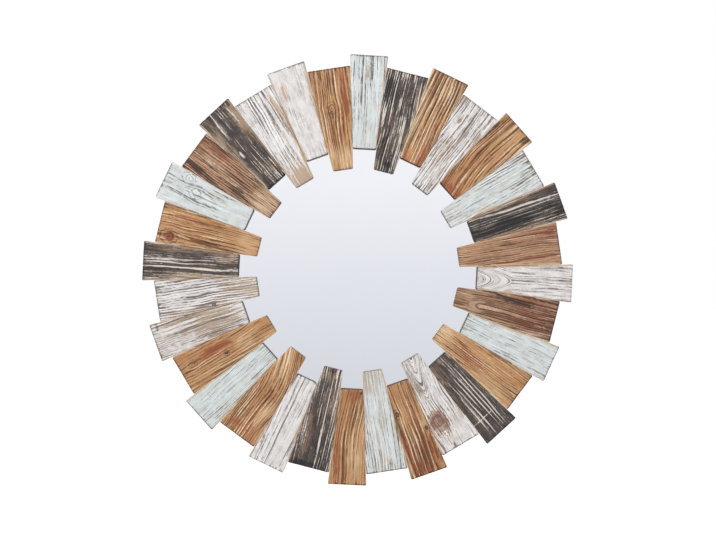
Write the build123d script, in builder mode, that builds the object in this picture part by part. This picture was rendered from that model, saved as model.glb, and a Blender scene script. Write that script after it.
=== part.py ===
from build123d import *
import os
from math import cos, radians, sin, tan
from typing import NamedTuple

# Round wall mirror: a glass disc framed by 32 tapered timber staves that fan out
# from it, stepped out and in by turns. +Z is up, the mirror faces -Y, and the
# origin is where the mirror's axis meets the wall. Heights are measured forward
# from the wall, lengths are millimetres, and turns are degrees clockwise from
# 12 o'clock, seen from the front.

# Stave ring
stave_pairs = 16
long_reach = 355.5  # axis to the outer end of a stave that is stepped out
long_start = 198.5  # axis to its inner end
short_reach = 336.5  # axis to the outer end of a stave that is stepped in
short_start = 169.0  # axis to its inner end
long_outer_width = 64.8
long_inner_width = 38.2
first_turn = 3.0  # centreline of the first stave
fan_drop = 3.2  # the joints point at a spot this far below the axis
stave_thickness = 13.4
joint_gap = 0.4
arris = 0.9  # worn front edges
corner_wear = 1.4
knocked_corners = {19: 7.0}  # staves whose inner corner is rounded off, and its radius

# Mounting ring, glass and back
ring_thickness = 12.0
ring_inset = 36.5  # the ring's edge lies this far inside the short staves' ends
glass_thickness = 4.0
glass_lap = 11.5  # the glass runs this far behind the long staves
glass_arris = 0.5
glass_clearance = 1.5
packing_inset = 1.0
panel_thickness = 3.0
panel_lap = 14.0  # width of the ledge that carries the panel's rim
panel_clearance = 0.5

# Fasteners
shank_clearance = 0.05
panel_screw_count = 6
panel_screw_radius = 1.5
panel_screw_cover = 2.0  # board left in front of its tip
panel_head_radius = 3.0
panel_head_height = 1.8
strap_screw_radius = 1.75
strap_screw_cover = 3.2
strap_head_radius = 3.5
strap_head_height = 2.2
brad_width = 1.6
brad_depth = 1.3
brad_bite = 10.0  # how far a brad reaches into its stave
brad_clearance = 0.03

# Strap hangers, left and right
hanger_turn = 62.0  # where the middle of each strap lies
strap_width = 16.0
strap_gauge = 1.2
strap_end_flat = 1.0  # width left straight between the rounded corners
strap_lift = 0.4  # the strap cranks off the board before it rolls round the bar
crank_start = 6.5
crank_end = 4.0
lip_turn = 275.0
loop_head_gap = 1.2  # from the hanging loop to the first screw's head
strap_hole_spacing = 14.0
strap_end_margin = 8.0  # past the last hole
strap_hole_clearance = 0.25
hinge_clearance = 0.05
eye_wall_gap = 0.5  # from the rolled eye to the wall
wire_radius = 1.3
bow_sides = 8  # the loop's bow is this many-sided, as wide as the round bar
loop_side_gap = 0.7  # from the strap's edge to where the loop starts to bend
loop_depth = 18.0
loop_corner = 3.0

# Rubber bumpers
bumper_inset = 16.0
bumper_turns = (30.0, 150.0, 210.0, 330.0)
bumper_radius = 6.5
bumper_taper = 14.0


class Cut(NamedTuple):
    """How one stave departs from the pattern, as it was sawn and laid by hand."""

    outer: float  # its outer end stands this far past the pattern
    inner: float  # its inner end stops this far short of it
    skew: float  # its outer end is this much longer at its clockwise corner
    proud: float  # its face stands this far past the thinnest stave
    lay: float  # the joint after it lies this far clockwise at its outer end


cuts = (
    Cut(0.5, 3.2, -0.4, 0.3, -1.2),
    Cut(0.0, 0.3, 0.0, 0.1, -0.8),
    Cut(-0.2, 0.0, -0.3, 0.4, -0.5),
    Cut(0.7, 0.2, -0.6, 0.0, 0.6),
    Cut(0.8, 0.0, -0.4, 0.3, 1.0),
    Cut(-0.4, -0.3, 0.0, 0.5, 0.6),
    Cut(0.0, 0.0, 0.4, 0.2, 0.4),
    Cut(-0.6, -0.2, 0.0, 0.1, 1.0),
    Cut(-0.5, -0.6, 0.5, 0.5, 0.0),
    Cut(0.4, -0.5, 0.0, 0.2, 0.2),
    Cut(0.6, -0.8, 0.8, 0.4, -0.7),
    Cut(0.0, -0.7, 0.0, 0.0, -0.8),
    Cut(1.6, 0.3, 0.6, 0.4, -0.4),
    Cut(-0.7, 1.4, 0.3, 0.2, 0.3),
    Cut(1.5, 0.0, 0.0, 0.1, -0.3),
    Cut(0.2, 0.3, 0.4, 0.5, -0.5),
    Cut(0.5, 0.0, 0.5, 0.2, -0.3),
    Cut(0.4, 0.0, -0.3, 0.4, 0.5),
    Cut(1.0, 0.6, -0.5, 0.1, 0.0),
    Cut(1.8, 0.3, 0.5, 0.3, -0.4),
    Cut(1.3, 0.4, -0.3, 0.2, 0.2),
    Cut(1.9, 0.3, 0.0, 0.5, 0.7),
    Cut(0.8, 0.4, 0.4, 0.1, 0.5),
    Cut(0.2, 0.0, 0.5, 0.4, -0.4),
    Cut(0.6, 0.0, 0.3, 0.2, 0.8),
    Cut(1.1, 0.2, 0.6, 0.0, -0.4),
    Cut(-0.7, 0.4, 0.0, 0.3, 0.5),
    Cut(0.0, 0.5, 0.0, 0.1, -0.9),
    Cut(-0.5, 0.7, 0.8, 0.5, 0.0),
    Cut(0.6, 0.8, 0.5, 0.2, -0.5),
    Cut(0.2, 0.2, 0.3, 0.4, 0.0),
    Cut(0.2, 0.0, 0.4, 0.0, 0.7),
)

# Sizes that follow from the ones above
stave_count = 2 * stave_pairs
pitch = 360.0 / stave_count
eye_radius = wire_radius + hinge_clearance
hinge_rise = strap_gauge + strap_lift + eye_radius  # off the back of the board
wall_gap = hinge_rise + eye_radius + strap_gauge + eye_wall_gap
ring_front = wall_gap + ring_thickness
ring_reach = short_reach - ring_inset
glass_radius = long_start + glass_lap
glass_back = ring_front - glass_thickness
ring_bore = glass_radius + glass_clearance
panel_seat = ring_bore + panel_lap
panel_front = wall_gap + panel_thickness
panel_screw_circle = ring_bore + panel_lap / 2
panel_screw_length = ring_thickness - panel_screw_cover
land_circle = (panel_seat + ring_reach) / 2  # middle of the board behind the staves
brad_length = ring_thickness + brad_bite
strap_face = wall_gap - strap_gauge
strap_screw_length = strap_gauge + ring_thickness - strap_screw_cover
first_hole = loop_depth + wire_radius + loop_head_gap + strap_head_radius
strap_holes = (first_hole, first_hole + strap_hole_spacing)  # below the hinge
strap_length = strap_holes[1] + strap_end_margin
strap_end_round = (strap_width - strap_end_flat) / 2
loop_width = strap_width + 2 * (loop_side_gap + loop_corner)
bumper_circle = ring_reach - bumper_inset


def facing(height):
    """The plane at a height forward of the wall, seen from the front."""
    return Plane.XZ.offset(height)


def polar(radius, turn):
    """A point of the front view, at a radius and a turn from 12 o'clock."""
    return Vector(radius * sin(radians(turn)), radius * cos(radians(turn)))


def spokes(radius, turns):
    """Places on a circle of the front view, each with its x axis pointing outwards."""
    return [Location(polar(radius, turn), 90 - turn) for turn in turns]


def stave_turn(number):
    """The turn of a stave's centreline, where stave 1 is at 12 o'clock."""
    return first_turn + (number - 1) * pitch


def is_long(number):
    """Whether a stave is one of those stepped out."""
    return number % 2 == 1


def cut_of(number):
    """The departures of a stave, which repeat past the last one listed."""
    return cuts[(number - 1) % len(cuts)]


def joint_line(number):
    """The joint on a stave's anticlockwise side, as its inner and its outer point."""
    long_stave = number if is_long(number) else number - 1
    side = -1 if is_long(number) else 1
    along = polar(1, stave_turn(long_stave))
    across = polar(1, stave_turn(long_stave) + 90)
    fan_centre = Vector(0, -fan_drop)
    lay = cut_of(number - 1 if number > 1 else stave_count).lay
    inner = fan_centre + along * long_start + across * (side * long_inner_width / 2)
    outer = fan_centre + along * long_reach + across * (side * long_outer_width / 2 + lay)
    return inner, outer


def meet(start, end, point, direction):
    """Where the line from start to end crosses the line through point."""
    run = end - start
    share = (point - start).cross(direction).Z / run.cross(direction).Z
    return start + run * share


def stave_corners(number):
    """A stave's outline from the front: outer and inner corner on its anticlockwise
    side, then inner and outer corner on the other."""
    cut = cut_of(number)
    along = polar(1, stave_turn(number))
    across = polar(1, stave_turn(number) + 90)
    reach = (long_reach if is_long(number) else short_reach) + cut.outer
    start = (long_start if is_long(number) else short_start) + cut.inner
    before = [point + across * (joint_gap / 2) for point in joint_line(number)]
    after = [point - across * (joint_gap / 2) for point in joint_line(number % stave_count + 1)]
    sawn = across * (after[1] - before[1]).length + along * cut.skew
    return (
        meet(*before, along * reach, sawn),
        meet(*before, along * start, across),
        meet(*after, along * start, across),
        meet(*after, along * reach, sawn),
    )


stave_turns = [stave_turn(number) for number in range(1, stave_count + 1)]
screw_turns = [(step + 0.5) * 360 / panel_screw_count for step in range(panel_screw_count)]
half_strap = Vector(0, strap_length / 2)
hinges = {
    "left": polar(land_circle, -hanger_turn) + half_strap,
    "right": polar(land_circle, hanger_turn) + half_strap,
}
strap_screw_places = [hinge - Vector(0, drop) for hinge in hinges.values() for drop in strap_holes]
os.makedirs("parts", exist_ok=True)

# Staves, each to its own outline, with worn front edges and a slot for its brad
for number in range(1, stave_count + 1):
    corners = stave_corners(number)
    with BuildPart() as stave:
        with BuildSketch(facing(ring_front)) as outline:
            with BuildLine():
                Polyline(*corners, close=True)
            make_face()
            for place, corner in enumerate(corners):
                sharp = outline.vertices().sort_by_distance(corner)[0]
                if place == 1 and number in knocked_corners:
                    fillet(sharp, radius=knocked_corners[number])
                else:
                    chamfer(sharp, length=corner_wear)
        extrude(amount=stave_thickness + cut_of(number).proud)
        chamfer(stave.faces().sort_by(Axis.Y)[0].edges(), length=arris)
        with BuildSketch(facing(ring_front)):
            with Locations(*spokes(land_circle, [stave_turn(number)])):
                Rectangle(brad_width + 2 * brad_clearance, brad_depth + 2 * brad_clearance)
        extrude(amount=brad_length - ring_thickness + brad_clearance, mode=Mode.SUBTRACT)
    stave.part.label = f"stave_{number:02d}"
    export_step(stave.part, f"parts/stave_{number:02d}.step")

# Mounting ring: a board with a bore for the glass, a seat for the panel behind it,
# and holes for every fastener
with BuildPart() as mounting_ring:
    with BuildSketch(facing(wall_gap)):
        Circle(ring_reach)
        Circle(ring_bore, mode=Mode.SUBTRACT)
    extrude(amount=ring_thickness)
    with BuildSketch(facing(wall_gap)):
        Circle(panel_seat)
    extrude(amount=panel_thickness, mode=Mode.SUBTRACT)
    with BuildSketch(facing(panel_front)):
        with Locations(*spokes(panel_screw_circle, screw_turns)):
            Circle(panel_screw_radius + shank_clearance)
    extrude(amount=panel_screw_length - panel_thickness + shank_clearance, mode=Mode.SUBTRACT)
    with BuildSketch(facing(wall_gap)):
        with Locations(*strap_screw_places):
            Circle(strap_screw_radius + shank_clearance)
    extrude(amount=strap_screw_length - strap_gauge + shank_clearance, mode=Mode.SUBTRACT)
    with BuildSketch(facing(wall_gap)):
        with Locations(*spokes(land_circle, stave_turns)):
            Rectangle(brad_width + 2 * brad_clearance, brad_depth + 2 * brad_clearance)
    extrude(amount=ring_thickness, mode=Mode.SUBTRACT)
mounting_ring.part.label = "mounting_ring"
export_step(mounting_ring.part, "parts/mounting_ring.step")

# Brads driven through the mounting ring, one into each stave, and set flush
with BuildPart() as stave_brads:
    with BuildSketch(facing(wall_gap)):
        with Locations(*spokes(land_circle, stave_turns)):
            Rectangle(brad_width, brad_depth)
    extrude(amount=brad_length)
stave_brads.part.label = "stave_brads"
export_step(stave_brads.part, "parts/stave_brads.step")

# Mirror glass, with its edge ground
with BuildPart() as mirror_glass:
    with BuildSketch(facing(glass_back)):
        Circle(glass_radius)
    extrude(amount=glass_thickness)
    chamfer(mirror_glass.faces().sort_by(Axis.Y)[0].edges(), length=glass_arris)
mirror_glass.part.label = "mirror_glass"
export_step(mirror_glass.part, "parts/mirror_glass.step")

# Packing sheet that presses the glass against the staves
with BuildPart() as packing_sheet:
    with BuildSketch(facing(panel_front)):
        Circle(glass_radius - packing_inset)
    extrude(amount=glass_back - panel_front)
packing_sheet.part.label = "packing_sheet"
export_step(packing_sheet.part, "parts/packing_sheet.step")

# Back panel, drilled for its screws
with BuildPart() as back_panel:
    with BuildSketch(facing(wall_gap)):
        Circle(panel_seat - panel_clearance)
    extrude(amount=panel_thickness)
    with BuildSketch(facing(wall_gap)):
        with Locations(*spokes(panel_screw_circle, screw_turns)):
            Circle(panel_screw_radius + shank_clearance)
    extrude(amount=panel_thickness, mode=Mode.SUBTRACT)
back_panel.part.label = "back_panel"
export_step(back_panel.part, "parts/back_panel.step")

# Pan-head screws round the back panel
with BuildPart() as panel_screws:
    with BuildSketch(facing(wall_gap - panel_head_height)):
        with Locations(*spokes(panel_screw_circle, screw_turns)):
            Circle(panel_head_radius)
    extrude(amount=panel_head_height)
    with BuildSketch(facing(wall_gap)):
        with Locations(*spokes(panel_screw_circle, screw_turns)):
            Circle(panel_screw_radius)
    extrude(amount=panel_screw_length)
panel_screws.part.label = "panel_screws"
export_step(panel_screws.part, "parts/panel_screws.step")

# Strap hangers: a strip screwed flat to the board, cranked off it and rolled round
# the bar of a loop, and the loop itself, which hangs down at rest
for side, hinge in hinges.items():
    strap_section = Plane(origin=(hinge.X, -wall_gap, hinge.Y), x_dir=(0, 1, 0), z_dir=(1, 0, 0))
    with BuildPart() as hanger_strap:
        with BuildSketch(strap_section):
            with BuildLine():
                rolled = CenterArc((hinge_rise, 0), eye_radius + strap_gauge, 180, -lip_turn)
                bore = CenterArc((hinge_rise, 0), eye_radius, 180, -lip_turn)
                Line(rolled @ 1, bore @ 1)
                Polyline(
                    rolled @ 0,
                    (strap_lift, -crank_end),
                    (0, -crank_start),
                    (0, -strap_length),
                    (strap_gauge, -strap_length),
                    (strap_gauge, -crank_start),
                    (strap_lift + strap_gauge, -crank_end),
                    bore @ 0,
                )
            make_face()
        extrude(amount=strap_width / 2, both=True)
        fillet(hanger_strap.edges().filter_by(Axis.Y).sort_by(Axis.Z)[:2], radius=strap_end_round)
        with BuildSketch(facing(strap_face)):
            with Locations(*[hinge - Vector(0, drop) for drop in strap_holes]):
                Circle(strap_screw_radius + strap_hole_clearance)
        extrude(amount=strap_gauge, mode=Mode.SUBTRACT)
    hanger_strap.part.label = f"hanger_strap_{side}"
    export_step(hanger_strap.part, f"parts/hanger_strap_{side}.step")

    half_loop = loop_width / 2
    half_bar = half_loop - loop_corner
    crown_drop = loop_depth - half_loop
    centre = Vector(hinge.X, hinge_rise - wall_gap, hinge.Y)
    with BuildPart() as hanger_loop:
        with BuildSketch(Plane(centre, z_dir=(1, 0, 0))):
            Circle(wire_radius)
        extrude(amount=half_bar, both=True)
        with BuildLine(Plane(centre, x_dir=(1, 0, 0), z_dir=(0, -1, 0))):
            CenterArc((half_bar, -loop_corner), loop_corner, 90, -90)
            Line((half_loop, -loop_corner), (half_loop, -crown_drop))
            CenterArc((0, -crown_drop), half_loop, 0, -180)
            Line((-half_loop, -crown_drop), (-half_loop, -loop_corner))
            CenterArc((-half_bar, -loop_corner), loop_corner, 180, -90)
        with BuildSketch(Plane(centre + Vector(half_bar, 0, 0), z_dir=(1, 0, 0))):
            RegularPolygon(wire_radius, bow_sides, major_radius=False, rotation=180 / bow_sides)
        sweep()
    hanger_loop.part.label = f"hanger_loop_{side}"
    export_step(hanger_loop.part, f"parts/hanger_loop_{side}.step")

# Pan-head screws that hold the straps
with BuildPart() as strap_screws:
    with BuildSketch(facing(strap_face - strap_head_height)):
        with Locations(*strap_screw_places):
            Circle(strap_head_radius)
    extrude(amount=strap_head_height)
    with BuildSketch(facing(strap_face)):
        with Locations(*strap_screw_places):
            Circle(strap_screw_radius)
    extrude(amount=strap_screw_length)
strap_screws.part.label = "strap_screws"
export_step(strap_screws.part, "parts/strap_screws.step")

# Rubber bumpers that meet the wall
with BuildPart(facing(0)) as wall_bumpers:
    with Locations(*spokes(bumper_circle, bumper_turns)):
        Cone(
            bottom_radius=bumper_radius - wall_gap * tan(radians(bumper_taper)),
            top_radius=bumper_radius,
            height=wall_gap,
            align=(Align.CENTER, Align.CENTER, Align.MIN),
        )
wall_bumpers.part.label = "wall_bumpers"
export_step(wall_bumpers.part, "parts/wall_bumpers.step")
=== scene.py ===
"""Looks of a round wall mirror framed by 32 reclaimed-timber staves.

Every stave is a relief of its own grain, worn edges and knots, cut from a fine grid inside the
outline that the frame gives it, and coloured by what its relief left: wood, stain, paint and dirt,
with highlights painted on its ridges and shade painted in its grooves and on its inner end.
Lengths are millimetres until they go into a mesh, and colours are screen values from 0 to 255.
"""

from __future__ import annotations

import logging
import math
from dataclasses import dataclass
from enum import Enum
from typing import Any, Iterable

import bmesh
import bpy
import numpy as np
from mathutils import Matrix, Vector
from mathutils.geometry import convex_hull_2d


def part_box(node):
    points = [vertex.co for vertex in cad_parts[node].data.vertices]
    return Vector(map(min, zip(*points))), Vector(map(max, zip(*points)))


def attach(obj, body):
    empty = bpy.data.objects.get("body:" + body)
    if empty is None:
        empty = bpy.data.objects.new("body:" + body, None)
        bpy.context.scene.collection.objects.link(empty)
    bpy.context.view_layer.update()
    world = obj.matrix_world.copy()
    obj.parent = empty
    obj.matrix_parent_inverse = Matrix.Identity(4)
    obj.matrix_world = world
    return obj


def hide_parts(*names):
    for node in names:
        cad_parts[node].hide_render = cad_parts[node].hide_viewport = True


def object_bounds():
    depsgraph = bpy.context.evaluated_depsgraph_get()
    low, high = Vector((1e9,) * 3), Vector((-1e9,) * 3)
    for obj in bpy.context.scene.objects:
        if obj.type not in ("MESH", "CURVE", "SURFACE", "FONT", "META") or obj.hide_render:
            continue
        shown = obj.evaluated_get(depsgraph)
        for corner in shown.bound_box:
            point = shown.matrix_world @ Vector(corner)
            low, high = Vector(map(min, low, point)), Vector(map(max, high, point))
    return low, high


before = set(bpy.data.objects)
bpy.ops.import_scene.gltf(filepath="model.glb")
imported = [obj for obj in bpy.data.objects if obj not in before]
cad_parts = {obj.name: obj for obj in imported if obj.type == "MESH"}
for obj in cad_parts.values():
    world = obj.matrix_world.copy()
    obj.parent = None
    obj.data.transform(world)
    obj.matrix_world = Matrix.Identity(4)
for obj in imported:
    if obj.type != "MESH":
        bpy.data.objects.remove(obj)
CAD_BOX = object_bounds()

MM = 0.001
FRAME_BODY = "frame"
log = logging.getLogger("mirror")

Colour = tuple[int, int, int]


def linear(colour: Colour) -> tuple[float, float, float, float]:
    """Turn a screen colour into the linear one that a shader takes.

    Args:
        colour: Red, green and blue from 0 to 255.

    Returns:
        The linear colour with an alpha of 1.
    """
    shares = [value / 255 for value in colour]
    bent = [c / 12.92 if c <= 0.04045 else ((c + 0.055) / 1.055) ** 2.4 for c in shares]
    return (bent[0], bent[1], bent[2], 1.0)


def ease(low: float, high: float, value: np.ndarray) -> np.ndarray:
    """Rise smoothly from 0 at low to 1 at high, or fall where low is the larger.

    Args:
        low: Where the result is 0.
        high: Where the result is 1.
        value: The numbers to ease.

    Returns:
        An array of the same shape, from 0 to 1.
    """
    share = np.clip((value - low) / (high - low), 0.0, 1.0)
    return share * share * (3.0 - 2.0 * share)


def placed(name: str, data: bpy.types.ID) -> bpy.types.Object:
    """Make an object and link it to the scene.

    Args:
        name: The object's name.
        data: Its mesh, lamp or camera.

    Returns:
        The object, at the origin.
    """
    made = bpy.data.objects.new(name, data)
    bpy.context.scene.collection.objects.link(made)
    return made


def as_mesh(name: str, solid: bmesh.types.BMesh) -> bpy.types.Mesh:
    """Turn a solid into a mesh.

    Args:
        name: The mesh's name.
        solid: The solid, which is freed.

    Returns:
        The mesh.
    """
    mesh = bpy.data.meshes.new(name)
    solid.to_mesh(mesh)
    solid.free()
    return mesh


def store(mesh: bpy.types.Mesh, name: str, kind: str, key: str, values: np.ndarray) -> None:
    """Give every point of a mesh a value.

    Args:
        mesh: The mesh.
        name: The attribute's name.
        kind: Its type, such as FLOAT.
        key: What the type calls its values, such as value or vector.
        values: One row for each point.
    """
    made = mesh.attributes.new(name, kind, "POINT")
    made.data.foreach_set(key, values.ravel())


@dataclass(frozen=True)
class Field:
    """One use of a stave's noise: which lattice it reads and how large its cells are."""

    lattice: int
    first: float  # mm of a cell along the lattice's first side
    second: float  # mm of a cell along its second side
    octaves: int = 2
    shift: float = 0.0  # cells along the first side, which tells uses of one lattice apart


class Lattice:
    """Smooth seeded noise over a plane, which repeats after 128 cells."""

    SIDE = 128
    OCTAVE_SHIFT = (17.3, 9.1)  # cells between one octave's place and the next one's

    def __init__(self, seed: int) -> None:
        """Draw the lattice's values.

        Args:
            seed: Gives the same values each time.
        """
        self.values = np.random.default_rng(seed).random((self.SIDE, self.SIDE))

    def at(self, x: np.ndarray, y: np.ndarray) -> np.ndarray:
        """Read the noise.

        Args:
            x: Places along the first side, in cells.
            y: Places along the second side, in cells.

        Returns:
            Values from 0 to 1.
        """
        x_cell, y_cell = np.floor(x).astype(int), np.floor(y).astype(int)
        x_share, y_share = ease(0.0, 1.0, x - x_cell), ease(0.0, 1.0, y - y_cell)
        x0, y0 = x_cell % self.SIDE, y_cell % self.SIDE
        x1, y1 = (x0 + 1) % self.SIDE, (y0 + 1) % self.SIDE
        near = self.values[x0, y0] * (1 - x_share) + self.values[x1, y0] * x_share
        far = self.values[x0, y1] * (1 - x_share) + self.values[x1, y1] * x_share
        return near * (1 - y_share) + far * y_share

    def rich(self, x: np.ndarray, y: np.ndarray, octaves: int) -> np.ndarray:
        """Read several octaves of the noise laid over each other.

        Args:
            x: Places along the first side, in cells of the coarsest octave.
            y: Places along the second side.
            octaves: How many, each half as coarse and half as strong as the last.

        Returns:
            Values from 0 to 1, mostly near a half.
        """
        total, weight, whole = 0.0, 1.0, 0.0
        x_shift, y_shift = self.OCTAVE_SHIFT
        for octave in range(octaves):
            step = 2.0**octave
            total = total + weight * self.at(x * step + x_shift * octave, y * step + y_shift * octave)
            whole += weight
            weight *= 0.5
        return total / whole


class Sock:
    """A shader value that Python's operators work on, by adding Math nodes."""

    def __init__(self, graph: "Graph", socket: bpy.types.NodeSocket | None) -> None:
        """Wrap a socket.

        Args:
            graph: The graph that holds the socket's node.
            socket: The output that gives the value.
        """
        self.graph = graph
        self.socket = socket

    def _math(self, operation: str, *values: "Sock | float") -> "Sock":
        """Add a Math node on these values."""
        return self.graph.node("ShaderNodeMath", {"operation": operation}, dict(enumerate(values)))

    def __add__(self, other: "Sock | float") -> "Sock":
        """Add."""
        return self._math("ADD", self, other)

    def __radd__(self, other: float) -> "Sock":
        """Add to a number."""
        return self._math("ADD", other, self)

    def __sub__(self, other: "Sock | float") -> "Sock":
        """Subtract."""
        return self._math("SUBTRACT", self, other)

    def __rsub__(self, other: float) -> "Sock":
        """Subtract from a number."""
        return self._math("SUBTRACT", other, self)

    def __mul__(self, other: "Sock | float") -> "Sock":
        """Multiply."""
        return self._math("MULTIPLY", self, other)

    def __rmul__(self, other: float) -> "Sock":
        """Multiply a number."""
        return self._math("MULTIPLY", other, self)

    def eased(self, low: float, high: float, most: float = 1.0) -> "Sock":
        """Rise smoothly from 0 at low to the most at high.

        Args:
            low: Where the result is 0.
            high: Where it is the most.
            most: What it rises to.

        Returns:
            The eased value.
        """
        settings = {"interpolation_type": "SMOOTHSTEP"}
        return self.graph.node("ShaderNodeMapRange", settings, {0: self, 1: low, 2: high, 3: 0.0, 4: most})


class Graph:
    """A material's or the world's nodes, added one method call at a time."""

    def __init__(self, owner: bpy.types.Material | bpy.types.World) -> None:
        """Empty the owner's node tree.

        Args:
            owner: The material or world to dress.
        """
        owner.use_nodes = True
        self.tree = owner.node_tree
        self.tree.nodes.clear()

    def node(
        self,
        kind: str,
        settings: dict[str, Any] | None = None,
        inputs: dict[str | int, Any] | None = None,
        output: str | int = 0,
    ) -> Sock:
        """Add a node, set it up and feed it.

        Args:
            kind: The node's type, such as ShaderNodeMath.
            settings: Its properties, set before its sockets, with a ramp's stops under "stops".
            inputs: Values or wrapped sockets by input name or place.
            output: Which of its outputs to return.

        Returns:
            The wrapped output, which is empty for an output node.
        """
        made = self.tree.nodes.new(kind)
        for name, value in (settings or {}).items():
            if name == "stops":
                self._set_stops(made.color_ramp, value)
            else:
                setattr(made, name, value)
        for name, value in (inputs or {}).items():
            if isinstance(value, Sock):
                self.tree.links.new(value.socket, made.inputs[name])
            else:
                made.inputs[name].default_value = value
        return Sock(self, made.outputs[output] if len(made.outputs) else None)

    @staticmethod
    def _set_stops(ramp: bpy.types.ColorRamp, stops: tuple[tuple[float, Colour], ...]) -> None:
        """Give a ramp its stops.

        Args:
            ramp: The ramp.
            stops: Each stop's place from 0 to 1 and its colour.
        """
        while len(ramp.elements) < len(stops):
            ramp.elements.new(1.0)
        for element, (place, colour) in zip(ramp.elements, stops):
            element.position = place
            element.color = linear(colour)

    def attribute(self, name: str, output: str) -> Sock:
        """Read what store wrote on the mesh's points."""
        return self.node("ShaderNodeAttribute", {"attribute_name": name}, {}, output)

    def mix(self, factor: Sock | float, first: Any, second: Any) -> Sock:
        """Mix two colours.

        Args:
            factor: The second colour's share.
            first: A wrapped colour socket or a linear colour.
            second: The same.

        Returns:
            The mixed colour.
        """
        settings = {"data_type": "RGBA", "clamp_factor": True}
        return self.node("ShaderNodeMix", settings, {0: factor, 6: first, 7: second}, 2)

    def tinted(self, colour: Any, shade: Sock) -> Sock:
        """Multiply a colour by a value.

        Args:
            colour: A wrapped colour socket or a linear colour.
            shade: The value, where 1 leaves the colour as it is.

        Returns:
            The shaded colour.
        """
        grey = self.node("ShaderNodeCombineColor", {}, {0: shade, 1: shade, 2: shade})
        settings = {"data_type": "RGBA", "blend_type": "MULTIPLY"}
        return self.node("ShaderNodeMix", settings, {0: 1.0, 6: colour, 7: grey}, 2)

    def noise(self, place: Sock, scale: float, detail: float = 2.0, rough: float = 0.5) -> Sock:
        """Add smooth noise.

        Args:
            place: Where it is read.
            scale: Cells per metre, or per unit of the place.
            detail: Its octaves.
            rough: How much of each octave the next one keeps.

        Returns:
            Values from 0 to 1.
        """
        inputs = {"Vector": place, "Scale": scale, "Detail": detail, "Roughness": rough}
        return self.node("ShaderNodeTexNoise", {}, inputs)

    def stretched(self, place: Sock, factors: tuple[float, float, float]) -> Sock:
        """Scale a place along its axes.

        Args:
            place: The place.
            factors: One for each axis.

        Returns:
            The scaled place.
        """
        return self.node("ShaderNodeVectorMath", {"operation": "MULTIPLY"}, {0: place, 1: factors})

    def object_place(self) -> Sock:
        """Return the object's own coordinates."""
        return self.node("ShaderNodeTexCoord", {}, {}, "Object")

    def surface(self, inputs: dict[str, Any], height: Sock | None = None, depth: float = 0.0) -> None:
        """End the graph in a Principled shader.

        Args:
            inputs: Its sockets' values or links by name.
            height: A bump's height from 0 to 1, where there is one.
            depth: The bump's depth in metres.
        """
        if height is not None:
            bump = {"Height": height, "Distance": depth, "Strength": 1.0}
            inputs = {**inputs, "Normal": self.node("ShaderNodeBump", {}, bump)}
        shader = self.node("ShaderNodeBsdfPrincipled", {}, inputs)
        self.node("ShaderNodeOutputMaterial", {}, {"Surface": shader})


class Layer(Enum):
    """What a mark on a stave adds to, with its attribute and channel."""

    LATE = ("wood", 0)
    RED = ("wood", 1)
    PALE = ("wood", 2)
    KNOT = ("wood", 3)
    COVER = ("coat", 0)
    TAN = ("coat", 1)
    # The next layer holds pale wear and highlights painted on the ridges; the one after holds dirt and shade
    # painted in the grooves and on the inner ends.
    CHALK_AND_HIGHLIGHT = ("coat", 2)
    GRIME_AND_SHADE = ("coat", 3)

    @property
    def attribute(self) -> str:
        """Return the name of the attribute that holds it."""
        return self.value[0]

    @property
    def channel(self) -> int:
        """Return which of the attribute's four channels it is."""
        return self.value[1]


@dataclass(frozen=True)
class Mark:
    """A streak, stain or patch on a stave that follows its grain."""

    layer: Layer
    u: float  # its middle across the stave, from 0 at the anticlockwise side to 1
    v: float  # its middle along the stave, from 0 at the inner end to 1
    wide: float  # half its width, mm
    long: float  # half its length, mm
    strength: float = 0.8


@dataclass(frozen=True)
class Knot:
    """A knot that the grain flows round."""

    u: float
    v: float
    radius: float
    dark: float = 0.8
    push: float = 1.6  # how far it pushes the grain aside, in radii


@dataclass(frozen=True)
class Arch:
    """A stretch of flat-sawn figure: the grain parts at its tip and arches nest behind that."""

    u: float
    v: float
    spread: float  # how fast it widens, mm; below 0 its tip points to the inner end
    reach: float = 90.0  # mm behind the tip at which the grain runs straight again


@dataclass(frozen=True)
class Finish:
    """How one kind of timber is stained, painted and worn, and the colours of the highlights and shade
    painted on it.
    """

    slot: str
    early: Colour
    late: Colour
    red: Colour
    pale: Colour
    knot: Colour
    tan: Colour
    # The next colour is also that of the highlights painted on the ridges, the one after that of the shade
    # painted in the grooves and on the inner ends.
    chalk_and_highlight: Colour
    grime_and_shade: Colour
    late_share: float
    chalk_and_highlight_share: float
    # The next value sets the dirt and the shade painted in the grooves.
    groove_grime_and_shade: float
    sheen: float  # roughness of the face
    paint: Colour | None = None
    paint_worn: Colour | None = None
    cover: float = 0.0  # how much of the face the paint still hides
    wear: float = 0.0  # how much more it lost on the raised grain


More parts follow.
